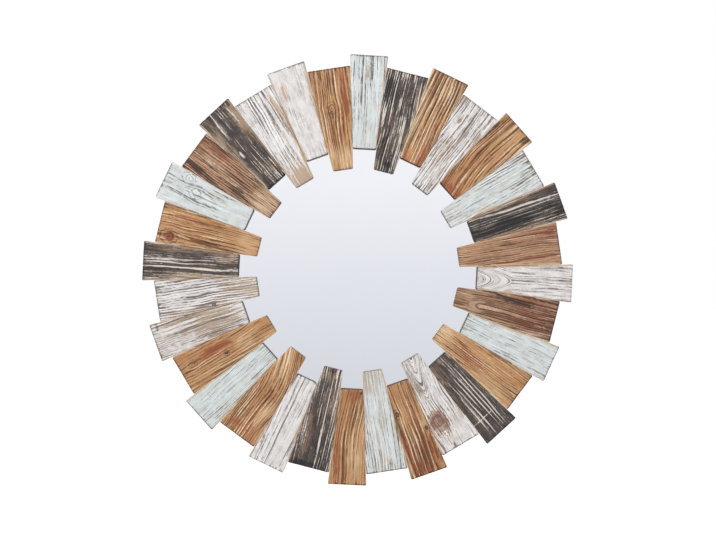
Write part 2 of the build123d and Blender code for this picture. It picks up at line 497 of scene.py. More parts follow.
HONEY = Finish(
    slot="timber_honey",
    early=(194, 146, 98), late=(116, 72, 40), red=(150, 80, 46), pale=(222, 186, 144),
    knot=(70, 42, 30), tan=(222, 190, 150), chalk_and_highlight=(240, 214, 178), grime_and_shade=(72, 48, 36),
    late_share=1.0, chalk_and_highlight_share=0.75, groove_grime_and_shade=0.5, sheen=0.62,
)
BROWN = Finish(
    slot="timber_brown",
    early=(178, 134, 100), late=(96, 58, 40), red=(126, 62, 42), pale=(214, 182, 148),
    knot=(56, 36, 28), tan=(214, 184, 152), chalk_and_highlight=(228, 202, 172), grime_and_shade=(54, 38, 34),
    late_share=1.0, chalk_and_highlight_share=0.65, groove_grime_and_shade=0.55, sheen=0.6,
)
WHITE = Finish(
    slot="timber_white_wash",
    early=(190, 168, 146), late=(136, 118, 108), red=(154, 100, 74), pale=(216, 202, 186),
    knot=(82, 62, 54), tan=(196, 165, 132), chalk_and_highlight=(252, 251, 250), grime_and_shade=(116, 106, 104),
    late_share=0.8, chalk_and_highlight_share=0.7, groove_grime_and_shade=0.7, sheen=0.7,
    paint=(239, 236, 233), paint_worn=(213, 207, 203), cover=0.9, wear=0.85,
)
BLUE = Finish(
    slot="timber_blue_wash",
    early=(192, 178, 160), late=(136, 124, 114), red=(172, 126, 104), pale=(214, 206, 192),
    knot=(98, 78, 68), tan=(202, 176, 143), chalk_and_highlight=(244, 249, 249), grime_and_shade=(104, 98, 94),
    late_share=0.7, chalk_and_highlight_share=0.7, groove_grime_and_shade=0.7, sheen=0.7,
    paint=(223, 230, 230), paint_worn=(205, 207, 202), cover=0.92, wear=0.75,
)
CHARCOAL = Finish(
    slot="timber_charcoal_wash",
    early=(150, 124, 102), late=(96, 72, 58), red=(104, 68, 56), pale=(188, 166, 144),
    knot=(40, 30, 28), tan=(170, 144, 120), chalk_and_highlight=(226, 216, 204), grime_and_shade=(30, 26, 28),
    late_share=0.5, chalk_and_highlight_share=1.0, groove_grime_and_shade=0.6, sheen=0.66,
    paint=(54, 47, 47), paint_worn=(90, 78, 71), cover=0.88, wear=0.45,
)


@dataclass(frozen=True)
class Board:
    """The recipe of one stave."""

    finish: Finish
    relief: float = 0.7  # depth of the brushed grain, mm
    pitch: float = 5.6  # mm between its growth rings
    tilt: float = 0.0  # how far the grain leans clockwise, mm over the stave's length
    sweep: float = 0.0  # how far it bends clockwise towards the inner end, mm
    sweep_from: float = 0.6  # where along the stave that bend starts
    streak: float = 1.0  # strength of its light and dark lines
    speckle: float = 0.4  # how much short flecks break them up
    fine: float = 1.0  # share of the finest lines
    tone: float = 1.0  # lightness
    worn: float = 1.0  # how much of its paint has gone
    smooth_inner: float = 0.0  # how plain the inner end is
    tan_left: float = 0.5  # bare wood along the anticlockwise edge
    tan_right: float = 0.5
    dark_outer: float = 0.7  # darkening along the outer end's edge
    dark_inner: float = 0.2
    knots: tuple[Knot, ...] = ()
    arches: tuple[Arch, ...] = ()
    marks: tuple[Mark, ...] = ()


LATE, RED, PALE, KNOT = Layer.LATE, Layer.RED, Layer.PALE, Layer.KNOT
COVER, TAN, CHALK_AND_HIGHLIGHT, GRIME_AND_SHADE = Layer.COVER, Layer.TAN, Layer.CHALK_AND_HIGHLIGHT, Layer.GRIME_AND_SHADE

BOARDS: tuple[Board, ...] = (
    Board(BLUE, pitch=3.8, worn=0.6, relief=0.5, fine=1.3, smooth_inner=0.7, tan_left=0.2, tan_right=0.9,
        marks=(
            Mark(TAN, 0.5, 0.84, 5, 13, 0.7), Mark(RED, 0.55, 0.83, 2, 9, 0.55),
            Mark(GRIME_AND_SHADE, 0.63, 0.78, 1.2, 4, 0.8), Mark(TAN, 0.4, 0.62, 3, 20, 0.25),
        )),
    Board(CHARCOAL, pitch=4.0, relief=0.8, streak=1.3, fine=1.3, tan_right=1.0, tan_left=0.4,
        marks=(
            Mark(GRIME_AND_SHADE, 0.16, 0.84, 8, 26, 0.9), Mark(CHALK_AND_HIGHLIGHT, 0.5, 0.4, 12, 60, 0.25),
            Mark(TAN, 0.9, 0.8, 4, 26, 0.8), Mark(TAN, 0.12, 0.36, 4, 16, 0.5),
            Mark(TAN, 0.25, 0.06, 9, 8, 0.7), Mark(GRIME_AND_SHADE, 0.5, 0.07, 6, 5, 0.9),
        )),
    Board(HONEY, pitch=6.5, relief=0.8, streak=1.1, tan_left=0.8, tan_right=0.4,
        marks=(
            Mark(PALE, 0.13, 0.55, 7, 70, 0.45), Mark(RED, 0.6, 0.5, 13, 60, 0.3),
            Mark(RED, 0.88, 0.06, 7, 14, 0.8), Mark(RED, 0.15, 0.04, 8, 10, 0.6),
            Mark(CHALK_AND_HIGHLIGHT, 0.62, 0.4, 1, 66, 0.5), Mark(CHALK_AND_HIGHLIGHT, 0.86, 0.6, 1, 56, 0.5),
        )),
    Board(WHITE, pitch=5.0, relief=0.9, streak=1.1, tan_left=0.3, tan_right=0.6, dark_outer=0.6,
        knots=(Knot(0.27, 0.77, 2.4, 0.9),),
        marks=(
            Mark(TAN, 0.27, 0.8, 5, 12, 0.6), Mark(COVER, 0.55, 0.8, 4, 34, -0.45),
            Mark(GRIME_AND_SHADE, 0.52, 0.82, 1.1, 22, 0.6), Mark(GRIME_AND_SHADE, 0.62, 0.72, 1.0, 30, 0.5),
            Mark(TAN, 0.66, 0.14, 13, 26, 0.4), Mark(RED, 0.25, 0.5, 2, 6, 0.5),
            Mark(COVER, 0.4, 0.42, 16, 26, -0.3),
        )),
    Board(HONEY, pitch=6.0, relief=0.9, sweep=17, sweep_from=0.55, streak=1.1, tan_left=0.3,
        marks=(
            Mark(GRIME_AND_SHADE, 0.86, 0.95, 8, 12, 0.75), Mark(RED, 0.5, 0.03, 24, 8, 0.8),
            Mark(GRIME_AND_SHADE, 0.03, 0.75, 2, 28, 0.7), Mark(PALE, 0.8, 0.55, 8, 24, 0.35),
        )),
    Board(BLUE, pitch=4.6, worn=0.8, relief=0.7, streak=0.9, tan_left=0.3, tan_right=0.9, dark_outer=0.7,
        marks=(
            Mark(TAN, 0.4, 0.7, 2, 40, 0.6), Mark(RED, 0.3, 0.85, 2, 22, 0.45),
            Mark(TAN, 0.55, 0.62, 1.6, 34, 0.55), Mark(GRIME_AND_SHADE, 0.45, 0.97, 2.5, 4, 0.9),
            Mark(GRIME_AND_SHADE, 0.3, 0.97, 2, 3, 0.8), Mark(GRIME_AND_SHADE, 0.62, 0.97, 2, 4, 0.7),
            Mark(TAN, 0.9, 0.35, 5, 20, 0.6), Mark(COVER, 0.5, 0.1, 26, 16, -0.25),
        )),
    Board(
        CHARCOAL, pitch=5.0, tone=0.95, relief=0.9, streak=0.75, tan_left=0.9, tan_right=0.9,
        dark_outer=0.3,
        marks=(
            Mark(CHALK_AND_HIGHLIGHT, 0.27, 0.7, 1.1, 46, 1.0), Mark(CHALK_AND_HIGHLIGHT, 0.37, 0.55, 1.0, 62, 0.9),
            Mark(CHALK_AND_HIGHLIGHT, 0.2, 0.45, 1.0, 40, 0.8), Mark(GRIME_AND_SHADE, 0.62, 0.5, 12, 70, 0.6),
            Mark(TAN, 0.1, 0.55, 4, 40, 0.6), Mark(TAN, 0.93, 0.55, 3, 60, 0.6),
            Mark(CHALK_AND_HIGHLIGHT, 0.8, 0.7, 1, 30, 0.7),
        )),
    Board(BROWN, pitch=3.8, relief=0.7, streak=0.8, tan_right=0.9, tan_left=0.5, smooth_inner=0.3,
        marks=(
            Mark(RED, 0.19, 0.75, 2.4, 42, 0.85), Mark(RED, 0.84, 0.6, 3, 66, 0.9),
            Mark(LATE, 0.28, 0.5, 4, 12, 0.7), Mark(PALE, 0.93, 0.55, 2, 60, 0.5),
            Mark(PALE, 0.5, 0.6, 12, 50, 0.25), Mark(RED, 0.3, 0.95, 14, 10, 0.4),
        )),
    Board(WHITE, pitch=5.2, worn=0.5, relief=0.9, streak=0.9, tan_left=1.0, tan_right=1.0, dark_outer=0.3,
        arches=(Arch(0.52, 0.36, 7.5),),
        marks=(
            Mark(GRIME_AND_SHADE, 0.12, 0.75, 1.2, 36, 0.7), Mark(GRIME_AND_SHADE, 0.82, 0.6, 1.1, 44, 0.6),
            Mark(GRIME_AND_SHADE, 0.7, 0.7, 1.0, 30, 0.5), Mark(TAN, 0.55, 0.32, 12, 8, 0.35),
            Mark(COVER, 0.5, 0.05, 24, 10, -0.4), Mark(TAN, 0.92, 0.3, 4, 22, 0.6),
        )),
    Board(BROWN, pitch=5.0, relief=0.9, streak=1.1, tone=0.88, tan_right=0.4, tan_left=0.3,
        arches=(Arch(0.66, 0.12, -3.2, 20.0),),
        marks=(
            Mark(RED, 0.5, 0.75, 20, 44, 0.65), Mark(GRIME_AND_SHADE, 0.25, 0.55, 3, 34, 0.75),
            Mark(GRIME_AND_SHADE, 0.14, 0.5, 2, 30, 0.6), Mark(PALE, 0.7, 0.2, 10, 14, 0.7),
            Mark(PALE, 0.9, 0.84, 4, 26, 0.6), Mark(PALE, 0.2, 0.1, 5, 16, 0.6),
        )),
    Board(BLUE, pitch=4.2, worn=0.5, relief=0.5, streak=0.7, fine=1.1, tan_left=0.9, tan_right=0.5,
        dark_outer=0.6,
        knots=(Knot(0.15, 0.26, 3.0, 0.25),),
        marks=(
            Mark(GRIME_AND_SHADE, 0.15, 0.8, 0.9, 12, 0.7), Mark(GRIME_AND_SHADE, 0.2, 0.57, 0.9, 14, 0.5),
            Mark(TAN, 0.04, 0.4, 3, 40, 0.5),
        )),
    Board(HONEY, pitch=3.6, relief=0.6, streak=0.8, dark_outer=1.0, tan_right=0.8,
        marks=(
            Mark(RED, 0.56, 0.38, 8, 24, 0.8), Mark(PALE, 0.35, 0.06, 20, 14, 0.75),
            Mark(PALE, 0.82, 0.7, 6, 44, 0.4), Mark(GRIME_AND_SHADE, 0.02, 0.6, 2, 40, 0.6),
            Mark(RED, 0.5, 0.9, 22, 14, 0.3),
        )),
    Board(
        CHARCOAL, pitch=5.0, tone=0.93, relief=0.9, streak=0.6, tan_left=0.4, tan_right=0.4,
        dark_outer=0.7,
        marks=(
            Mark(CHALK_AND_HIGHLIGHT, 0.2, 0.6, 1, 50, 0.8), Mark(CHALK_AND_HIGHLIGHT, 0.3, 0.55, 1, 60, 0.9),
            Mark(CHALK_AND_HIGHLIGHT, 0.42, 0.6, 1, 52, 0.9), Mark(CHALK_AND_HIGHLIGHT, 0.53, 0.45, 1, 36, 0.7),
            Mark(CHALK_AND_HIGHLIGHT, 0.66, 0.6, 1.1, 44, 0.8), Mark(CHALK_AND_HIGHLIGHT, 0.78, 0.65, 1, 34, 0.6),
            Mark(TAN, 0.5, 0.03, 24, 7, 0.5), Mark(CHALK_AND_HIGHLIGHT, 0.6, 0.77, 20, 0.7, 0.7),
        )),
    Board(WHITE, pitch=4.8, worn=0.8, relief=0.9, streak=1.0, tan_left=0.4, tan_right=0.7, sweep=-7,
        sweep_from=0.5,
        knots=(Knot(0.7, 0.68, 9.0, 0.6, 1.2),),
        arches=(Arch(0.62, 0.46, 2.2),),
        marks=(
            Mark(RED, 0.7, 0.68, 13, 26, 1.0), Mark(COVER, 0.7, 0.68, 12, 24, -1.0),
            Mark(GRIME_AND_SHADE, 0.62, 0.97, 2.5, 6, 0.8), Mark(TAN, 0.5, 0.93, 8, 10, 0.4),
            Mark(GRIME_AND_SHADE, 0.93, 0.2, 1.4, 24, 0.6),
        )),
    Board(HONEY, pitch=6.2, relief=0.9, streak=0.9, tone=0.94,
        knots=(Knot(0.1, 0.54, 3.2, 1.0), Knot(0.9, 0.31, 4.2, 0.9),),
        marks=(
            Mark(RED, 0.55, 0.82, 30, 40, 0.75), Mark(GRIME_AND_SHADE, 0.6, 0.82, 26, 36, 0.4),
            Mark(LATE, 0.6, 0.75, 24, 40, 0.35), Mark(LATE, 0.5, 0.18, 30, 30, -0.4),
            Mark(PALE, 0.12, 0.5, 6, 10, 0.5), Mark(CHALK_AND_HIGHLIGHT, 0.55, 0.62, 1.2, 24, 0.8),
            Mark(CHALK_AND_HIGHLIGHT, 0.68, 0.66, 1.2, 30, 0.8), Mark(CHALK_AND_HIGHLIGHT, 0.8, 0.66, 1.2, 34, 0.8),
        )),
    Board(BLUE, pitch=4.6, relief=0.7, streak=0.9, smooth_inner=0.6, tan_left=0.8, tan_right=0.6,
        marks=(
            Mark(TAN, 0.55, 0.9, 18, 10, 0.55), Mark(GRIME_AND_SHADE, 0.4, 0.93, 8, 8, 0.35),
            Mark(TAN, 0.62, 0.7, 2, 36, 0.6), Mark(TAN, 0.78, 0.62, 2, 44, 0.6),
            Mark(TAN, 0.06, 0.6, 4, 30, 0.5), Mark(TAN, 0.4, 0.78, 2, 20, 0.5),
        )),
    Board(HONEY, pitch=5.2, relief=0.8, sweep=-16, sweep_from=0.75, streak=0.7, tan_left=0.4,
        marks=(
            Mark(LATE, 0.66, 0.75, 2, 44, 0.9), Mark(PALE, 0.28, 0.62, 14, 52, 0.45),
            Mark(RED, 0.84, 0.7, 6, 50, 0.55), Mark(GRIME_AND_SHADE, 0.3, 0.03, 12, 3, 0.8),
            Mark(RED, 0.6, 0.06, 20, 8, 0.5),
        )),
    Board(CHARCOAL, pitch=4.0, relief=0.9, streak=1.0, fine=1.2, tan_left=0.7, tan_right=0.5,
        marks=(
            Mark(RED, 0.78, 0.66, 4, 34, 0.8), Mark(COVER, 0.78, 0.66, 4, 34, -0.7),
            Mark(TAN, 0.5, 0.06, 22, 12, 0.5), Mark(COVER, 0.2, 0.35, 12, 40, -0.35),
            Mark(CHALK_AND_HIGHLIGHT, 0.35, 0.42, 3, 40, 0.4), Mark(GRIME_AND_SHADE, 0.6, 0.97, 24, 5, 0.8),
        )),
    Board(WHITE, pitch=7.0, worn=0.5, relief=0.6, streak=0.9, tan_left=0.6, tan_right=1.0, dark_outer=0.5,
        marks=(
            Mark(GRIME_AND_SHADE, 0.56, 0.6, 1.0, 56, 0.85), Mark(GRIME_AND_SHADE, 0.3, 0.5, 0.9, 60, 0.4),
            Mark(TAN, 0.04, 0.52, 3, 22, 0.7), Mark(GRIME_AND_SHADE, 0.86, 0.85, 0.9, 20, 0.6),
            Mark(COVER, 0.5, 0.3, 16, 30, 0.3),
        )),
    Board(HONEY, pitch=4.2, relief=0.9, sweep=26, sweep_from=0.5, streak=0.95, tan_left=0.3, tone=1.02,
        marks=(
            Mark(PALE, 0.22, 0.68, 9, 32, 0.6), Mark(LATE, 0.75, 0.75, 12, 46, 0.4),
            Mark(CHALK_AND_HIGHLIGHT, 0.4, 0.22, 1.6, 28, 0.7), Mark(CHALK_AND_HIGHLIGHT, 0.62, 0.2, 1.6, 28, 0.7),
            Mark(CHALK_AND_HIGHLIGHT, 0.2, 0.15, 1.6, 22, 0.6), Mark(RED, 0.55, 0.9, 20, 12, 0.35),
            Mark(RED, 0.35, 0.5, 8, 8, 0.5),
        )),
    Board(BLUE, pitch=2.8, worn=0.6, relief=0.5, streak=0.7, fine=1.3, tan_left=0.9, tan_right=0.8,
        marks=(
            Mark(COVER, 0.5, 0.2, 22, 30, 0.2), Mark(TAN, 0.12, 0.6, 4, 20, 0.3),
        )),
    Board(HONEY, pitch=4.6, relief=0.7, streak=0.65,
        knots=(Knot(0.42, 0.52, 2.6, 1.0), Knot(0.6, 0.86, 4.0, 0.45),),
        marks=(
            Mark(RED, 0.7, 0.62, 7, 34, 0.9), Mark(RED, 0.5, 0.66, 4, 22, 0.6),
            Mark(GRIME_AND_SHADE, 0.52, 0.94, 2, 9, 0.8), Mark(GRIME_AND_SHADE, 0.97, 0.7, 1.6, 50, 0.6),
            Mark(GRIME_AND_SHADE, 0.93, 0.28, 1.4, 20, 0.6), Mark(PALE, 0.5, 0.3, 12, 14, 0.5),
            Mark(RED, 0.4, 0.06, 20, 12, 0.3),
        )),
    Board(WHITE, pitch=5.0, relief=0.7, tone=0.96, streak=0.8, tan_left=0.7, tan_right=0.6,
        marks=(
            Mark(GRIME_AND_SHADE, 0.55, 0.6, 1.0, 50, 0.7), Mark(GRIME_AND_SHADE, 0.85, 0.93, 6, 2.5, 0.8),
            Mark(TAN, 0.88, 0.26, 4, 9, 0.7), Mark(COVER, 0.5, 0.6, 22, 50, -0.25),
            Mark(GRIME_AND_SHADE, 0.06, 0.1, 4, 6, 0.7),
        )),
    Board(WHITE, pitch=4.6, relief=0.9, streak=1.1, smooth_inner=0.5, tan_right=0.7, tan_left=0.4,
        knots=(Knot(0.12, 0.45, 3.2, 0.9),),
        marks=(
            Mark(TAN, 0.16, 0.8, 6, 30, 0.4), Mark(GRIME_AND_SHADE, 0.45, 0.6, 2, 18, 0.6),
            Mark(GRIME_AND_SHADE, 0.52, 0.5, 1.4, 16, 0.6), Mark(TAN, 0.35, 0.06, 20, 10, 0.5),
            Mark(GRIME_AND_SHADE, 0.72, 0.75, 1, 36, 0.6),
        )),
    Board(CHARCOAL, pitch=4.6, relief=0.9, streak=0.8, tan_left=1.0, tan_right=1.0,
        marks=(
            Mark(TAN, 0.1, 0.55, 7, 60, 0.75), Mark(CHALK_AND_HIGHLIGHT, 0.36, 0.6, 1, 50, 0.9),
            Mark(CHALK_AND_HIGHLIGHT, 0.5, 0.7, 1, 40, 0.9), Mark(CHALK_AND_HIGHLIGHT, 0.6, 0.55, 1, 54, 0.9),
            Mark(TAN, 0.88, 0.6, 6, 50, 0.6), Mark(RED, 0.88, 0.12, 6, 14, 0.8),
            Mark(COVER, 0.85, 0.12, 8, 16, -0.7), Mark(TAN, 0.3, 0.25, 10, 20, 0.3),
        )),
    Board(HONEY, pitch=5.0, relief=0.8, streak=0.9, smooth_inner=0.4,
        knots=(Knot(0.2, 0.88, 7.5, 0.5, 1.3),),
        marks=(
            Mark(RED, 0.2, 0.88, 8, 9, 0.7), Mark(RED, 0.76, 0.72, 4, 44, 0.8),
            Mark(GRIME_AND_SHADE, 0.78, 0.5, 1.6, 40, 0.6), Mark(LATE, 0.17, 0.45, 3, 24, 0.9),
            Mark(GRIME_AND_SHADE, 0.17, 0.44, 1.6, 16, 0.6), Mark(PALE, 0.5, 0.12, 24, 22, 0.4),
            Mark(LATE, 0.05, 0.3, 2, 30, 0.6),
        )),
    Board(BLUE, pitch=6.2, worn=0.5, relief=0.6, streak=0.8, smooth_inner=0.7, tan_left=0.3, tan_right=0.5,
        knots=(Knot(0.56, 0.63, 7.0, 0.12), Knot(0.84, 0.76, 6.0, 0.12),),
        marks=(
            Mark(RED, 0.92, 0.93, 4, 10, 0.5), Mark(TAN, 0.5, 0.62, 8, 8, 0.3),
        )),
    Board(BROWN, pitch=3.8, relief=0.8, streak=1.2, fine=1.3, smooth_inner=0.3, tan_left=0.3,
        marks=(
            Mark(RED, 0.08, 0.8, 3, 34, 0.9), Mark(GRIME_AND_SHADE, 0.2, 0.82, 2.6, 34, 0.9),
            Mark(RED, 0.84, 0.8, 4, 34, 0.5), Mark(GRIME_AND_SHADE, 0.22, 0.42, 8, 14, 0.45),
            Mark(PALE, 0.55, 0.12, 26, 22, 0.7), Mark(PALE, 0.5, 0.8, 12, 30, 0.35),
            Mark(GRIME_AND_SHADE, 0.55, 0.4, 16, 10, 0.25),
        )),
    Board(CHARCOAL, pitch=4.6, relief=0.9, streak=0.8, tan_left=1.0, tan_right=1.0, dark_inner=0.7,
        marks=(
            Mark(TAN, 0.08, 0.6, 7, 60, 0.8), Mark(TAN, 0.86, 0.8, 7, 30, 0.9),
            Mark(RED, 0.85, 0.8, 5, 26, 0.6), Mark(COVER, 0.86, 0.75, 8, 34, -0.6),
            Mark(TAN, 0.7, 0.16, 14, 12, 0.45), Mark(TAN, 0.2, 0.2, 10, 14, 0.4),
            Mark(CHALK_AND_HIGHLIGHT, 0.33, 0.8, 3, 22, 0.45), Mark(CHALK_AND_HIGHLIGHT, 0.27, 0.45, 2, 6, 0.7),
        )),
    Board(WHITE, pitch=5.2, worn=0.8, relief=0.7, streak=1.1, smooth_inner=0.9, tan_right=0.8, tan_left=0.3,
        marks=(
            Mark(TAN, 0.88, 0.75, 5, 40, 0.8), Mark(GRIME_AND_SHADE, 0.32, 0.8, 3, 30, 0.45),
            Mark(TAN, 0.5, 0.08, 30, 30, 0.6), Mark(COVER, 0.5, 0.04, 34, 34, -0.4),
            Mark(CHALK_AND_HIGHLIGHT, 0.45, 0.75, 3, 34, 0.6),
        )),
    Board(WHITE, pitch=7.5, worn=0.5, relief=0.6, streak=0.5, tan_left=0.7, tan_right=0.9, tone=0.98,
        marks=(
            Mark(TAN, 0.25, 0.73, 4, 14, 0.8), Mark(RED, 0.2, 0.7, 1.5, 9, 0.35),
            Mark(TAN, 0.95, 0.8, 3, 40, 0.9), Mark(CHALK_AND_HIGHLIGHT, 0.5, 0.44, 10, 0.8, 0.8),
            Mark(CHALK_AND_HIGHLIGHT, 0.45, 0.38, 9, 0.8, 0.7), Mark(TAN, 0.5, 0.4, 30, 60, 0.12),
        )),
    Board(HONEY, pitch=4.6, relief=0.8, streak=0.9, smooth_inner=0.5,
        knots=(Knot(0.43, 0.61, 5.0, 0.3),),
        marks=(
            Mark(LATE, 0.48, 0.84, 8, 20, 0.6), Mark(RED, 0.82, 0.75, 4.5, 40, 1.0),
            Mark(GRIME_AND_SHADE, 0.45, 0.88, 1.4, 14, 0.6), Mark(LATE, 0.5, 0.45, 5, 24, 0.6),
            Mark(PALE, 0.5, 0.12, 26, 24, 0.6), Mark(PALE, 0.15, 0.7, 5, 50, 0.3),
        )),
)


@dataclass
class Blank:
    """The sawn outline of a stave before it is brushed, read from the frame."""

    inner_left: Vector
    inner_right: Vector
    outer_left: Vector
    outer_right: Vector
    back: float  # y of its back face, mm
    front: float  # y of its front face, mm
    rounded: float  # how far its inner left corner lies outside its timber, mm

    @property
    def thick(self) -> float:
        """Return its thickness."""
        return self.back - self.front

    @classmethod
    def of_node(cls, node: str) -> "Blank":
        """Read the outline of a CAD stave.

        Args:
            node: The stave's node.

        Returns:
            Its blank, in millimetres of the front view.
        """
        places = np.array([v.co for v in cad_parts[node].data.vertices]) / MM
        back = places[:, 1].max()
        outline = [Vector((p[0], p[2])) for p in places if p[1] > back - 0.01]
        ring = [outline[i] for i in convex_hull_2d(outline)]
        sides = list(zip(ring, ring[1:] + ring[:1]))
        longest = sorted(range(len(sides)), key=lambda i: -(sides[i][1] - sides[i][0]).length)[:4]
        kept = [sides[i] for i in sorted(longest)]
        corners = [cls._meet(kept[i], kept[(i + 1) % 4]) for i in range(4)]
        corners.sort(key=lambda c: c.length)
        middle = sum(corners, Vector((0, 0))) / 4
        clockwise = Vector((middle.y, -middle.x))
        inner = sorted(corners[:2], key=lambda c: c.dot(clockwise))
        outer = sorted(corners[2:], key=lambda c: c.dot(clockwise))
        nearest = min((inner[0] - p).length for p in ring)
        return cls(inner[0], inner[1], outer[0], outer[1], back, places[:, 1].min(), nearest)

    @staticmethod
    def _meet(first: tuple[Vector, Vector], second: tuple[Vector, Vector]) -> Vector:
        """Find where two sides' lines cross.

        Args:
            first: One side's ends.
            second: The other's.

        Returns:
            The crossing.
        """
        run, other = first[1] - first[0], second[1] - second[0]
        turn = run.x * other.y - run.y * other.x
        gap = second[0] - first[0]
        return first[0] + run * ((gap.x * other.y - gap.y * other.x) / turn)

    def place(self, u: float, v: float, length: float) -> tuple[float, float]:
        """Turn shares of the stave into millimetres.

        Args:
            u: Share across, from its anticlockwise side.
            v: Share along, from its inner end.
            length: Its length.

        Returns:
            How far the place lies from the centreline and from the inner end.
        """
        inner = (self.inner_right - self.inner_left).length
        outer = (self.outer_right - self.outer_left).length
        return (u - 0.5) * (inner + (outer - inner) * v), v * length


@dataclass
class Grain:
    """The figure of a stave's wood at each of its points, mostly from 0 to 1."""

    ring: np.ndarray  # number of the growth ring
    groove: np.ndarray  # soft wood that the brush took out, deepest at the ring's end
    ridge: np.ndarray  # the hard wood beside it
    hair: np.ndarray  # the finest grooves
    hair_ridge: np.ndarray
    dotted: np.ndarray  # 1, and less where flecks break up the lines
    plain: np.ndarray
    broad: np.ndarray
    fine: np.ndarray
    patchy: np.ndarray
    blotch: np.ndarray
    flecks: np.ndarray


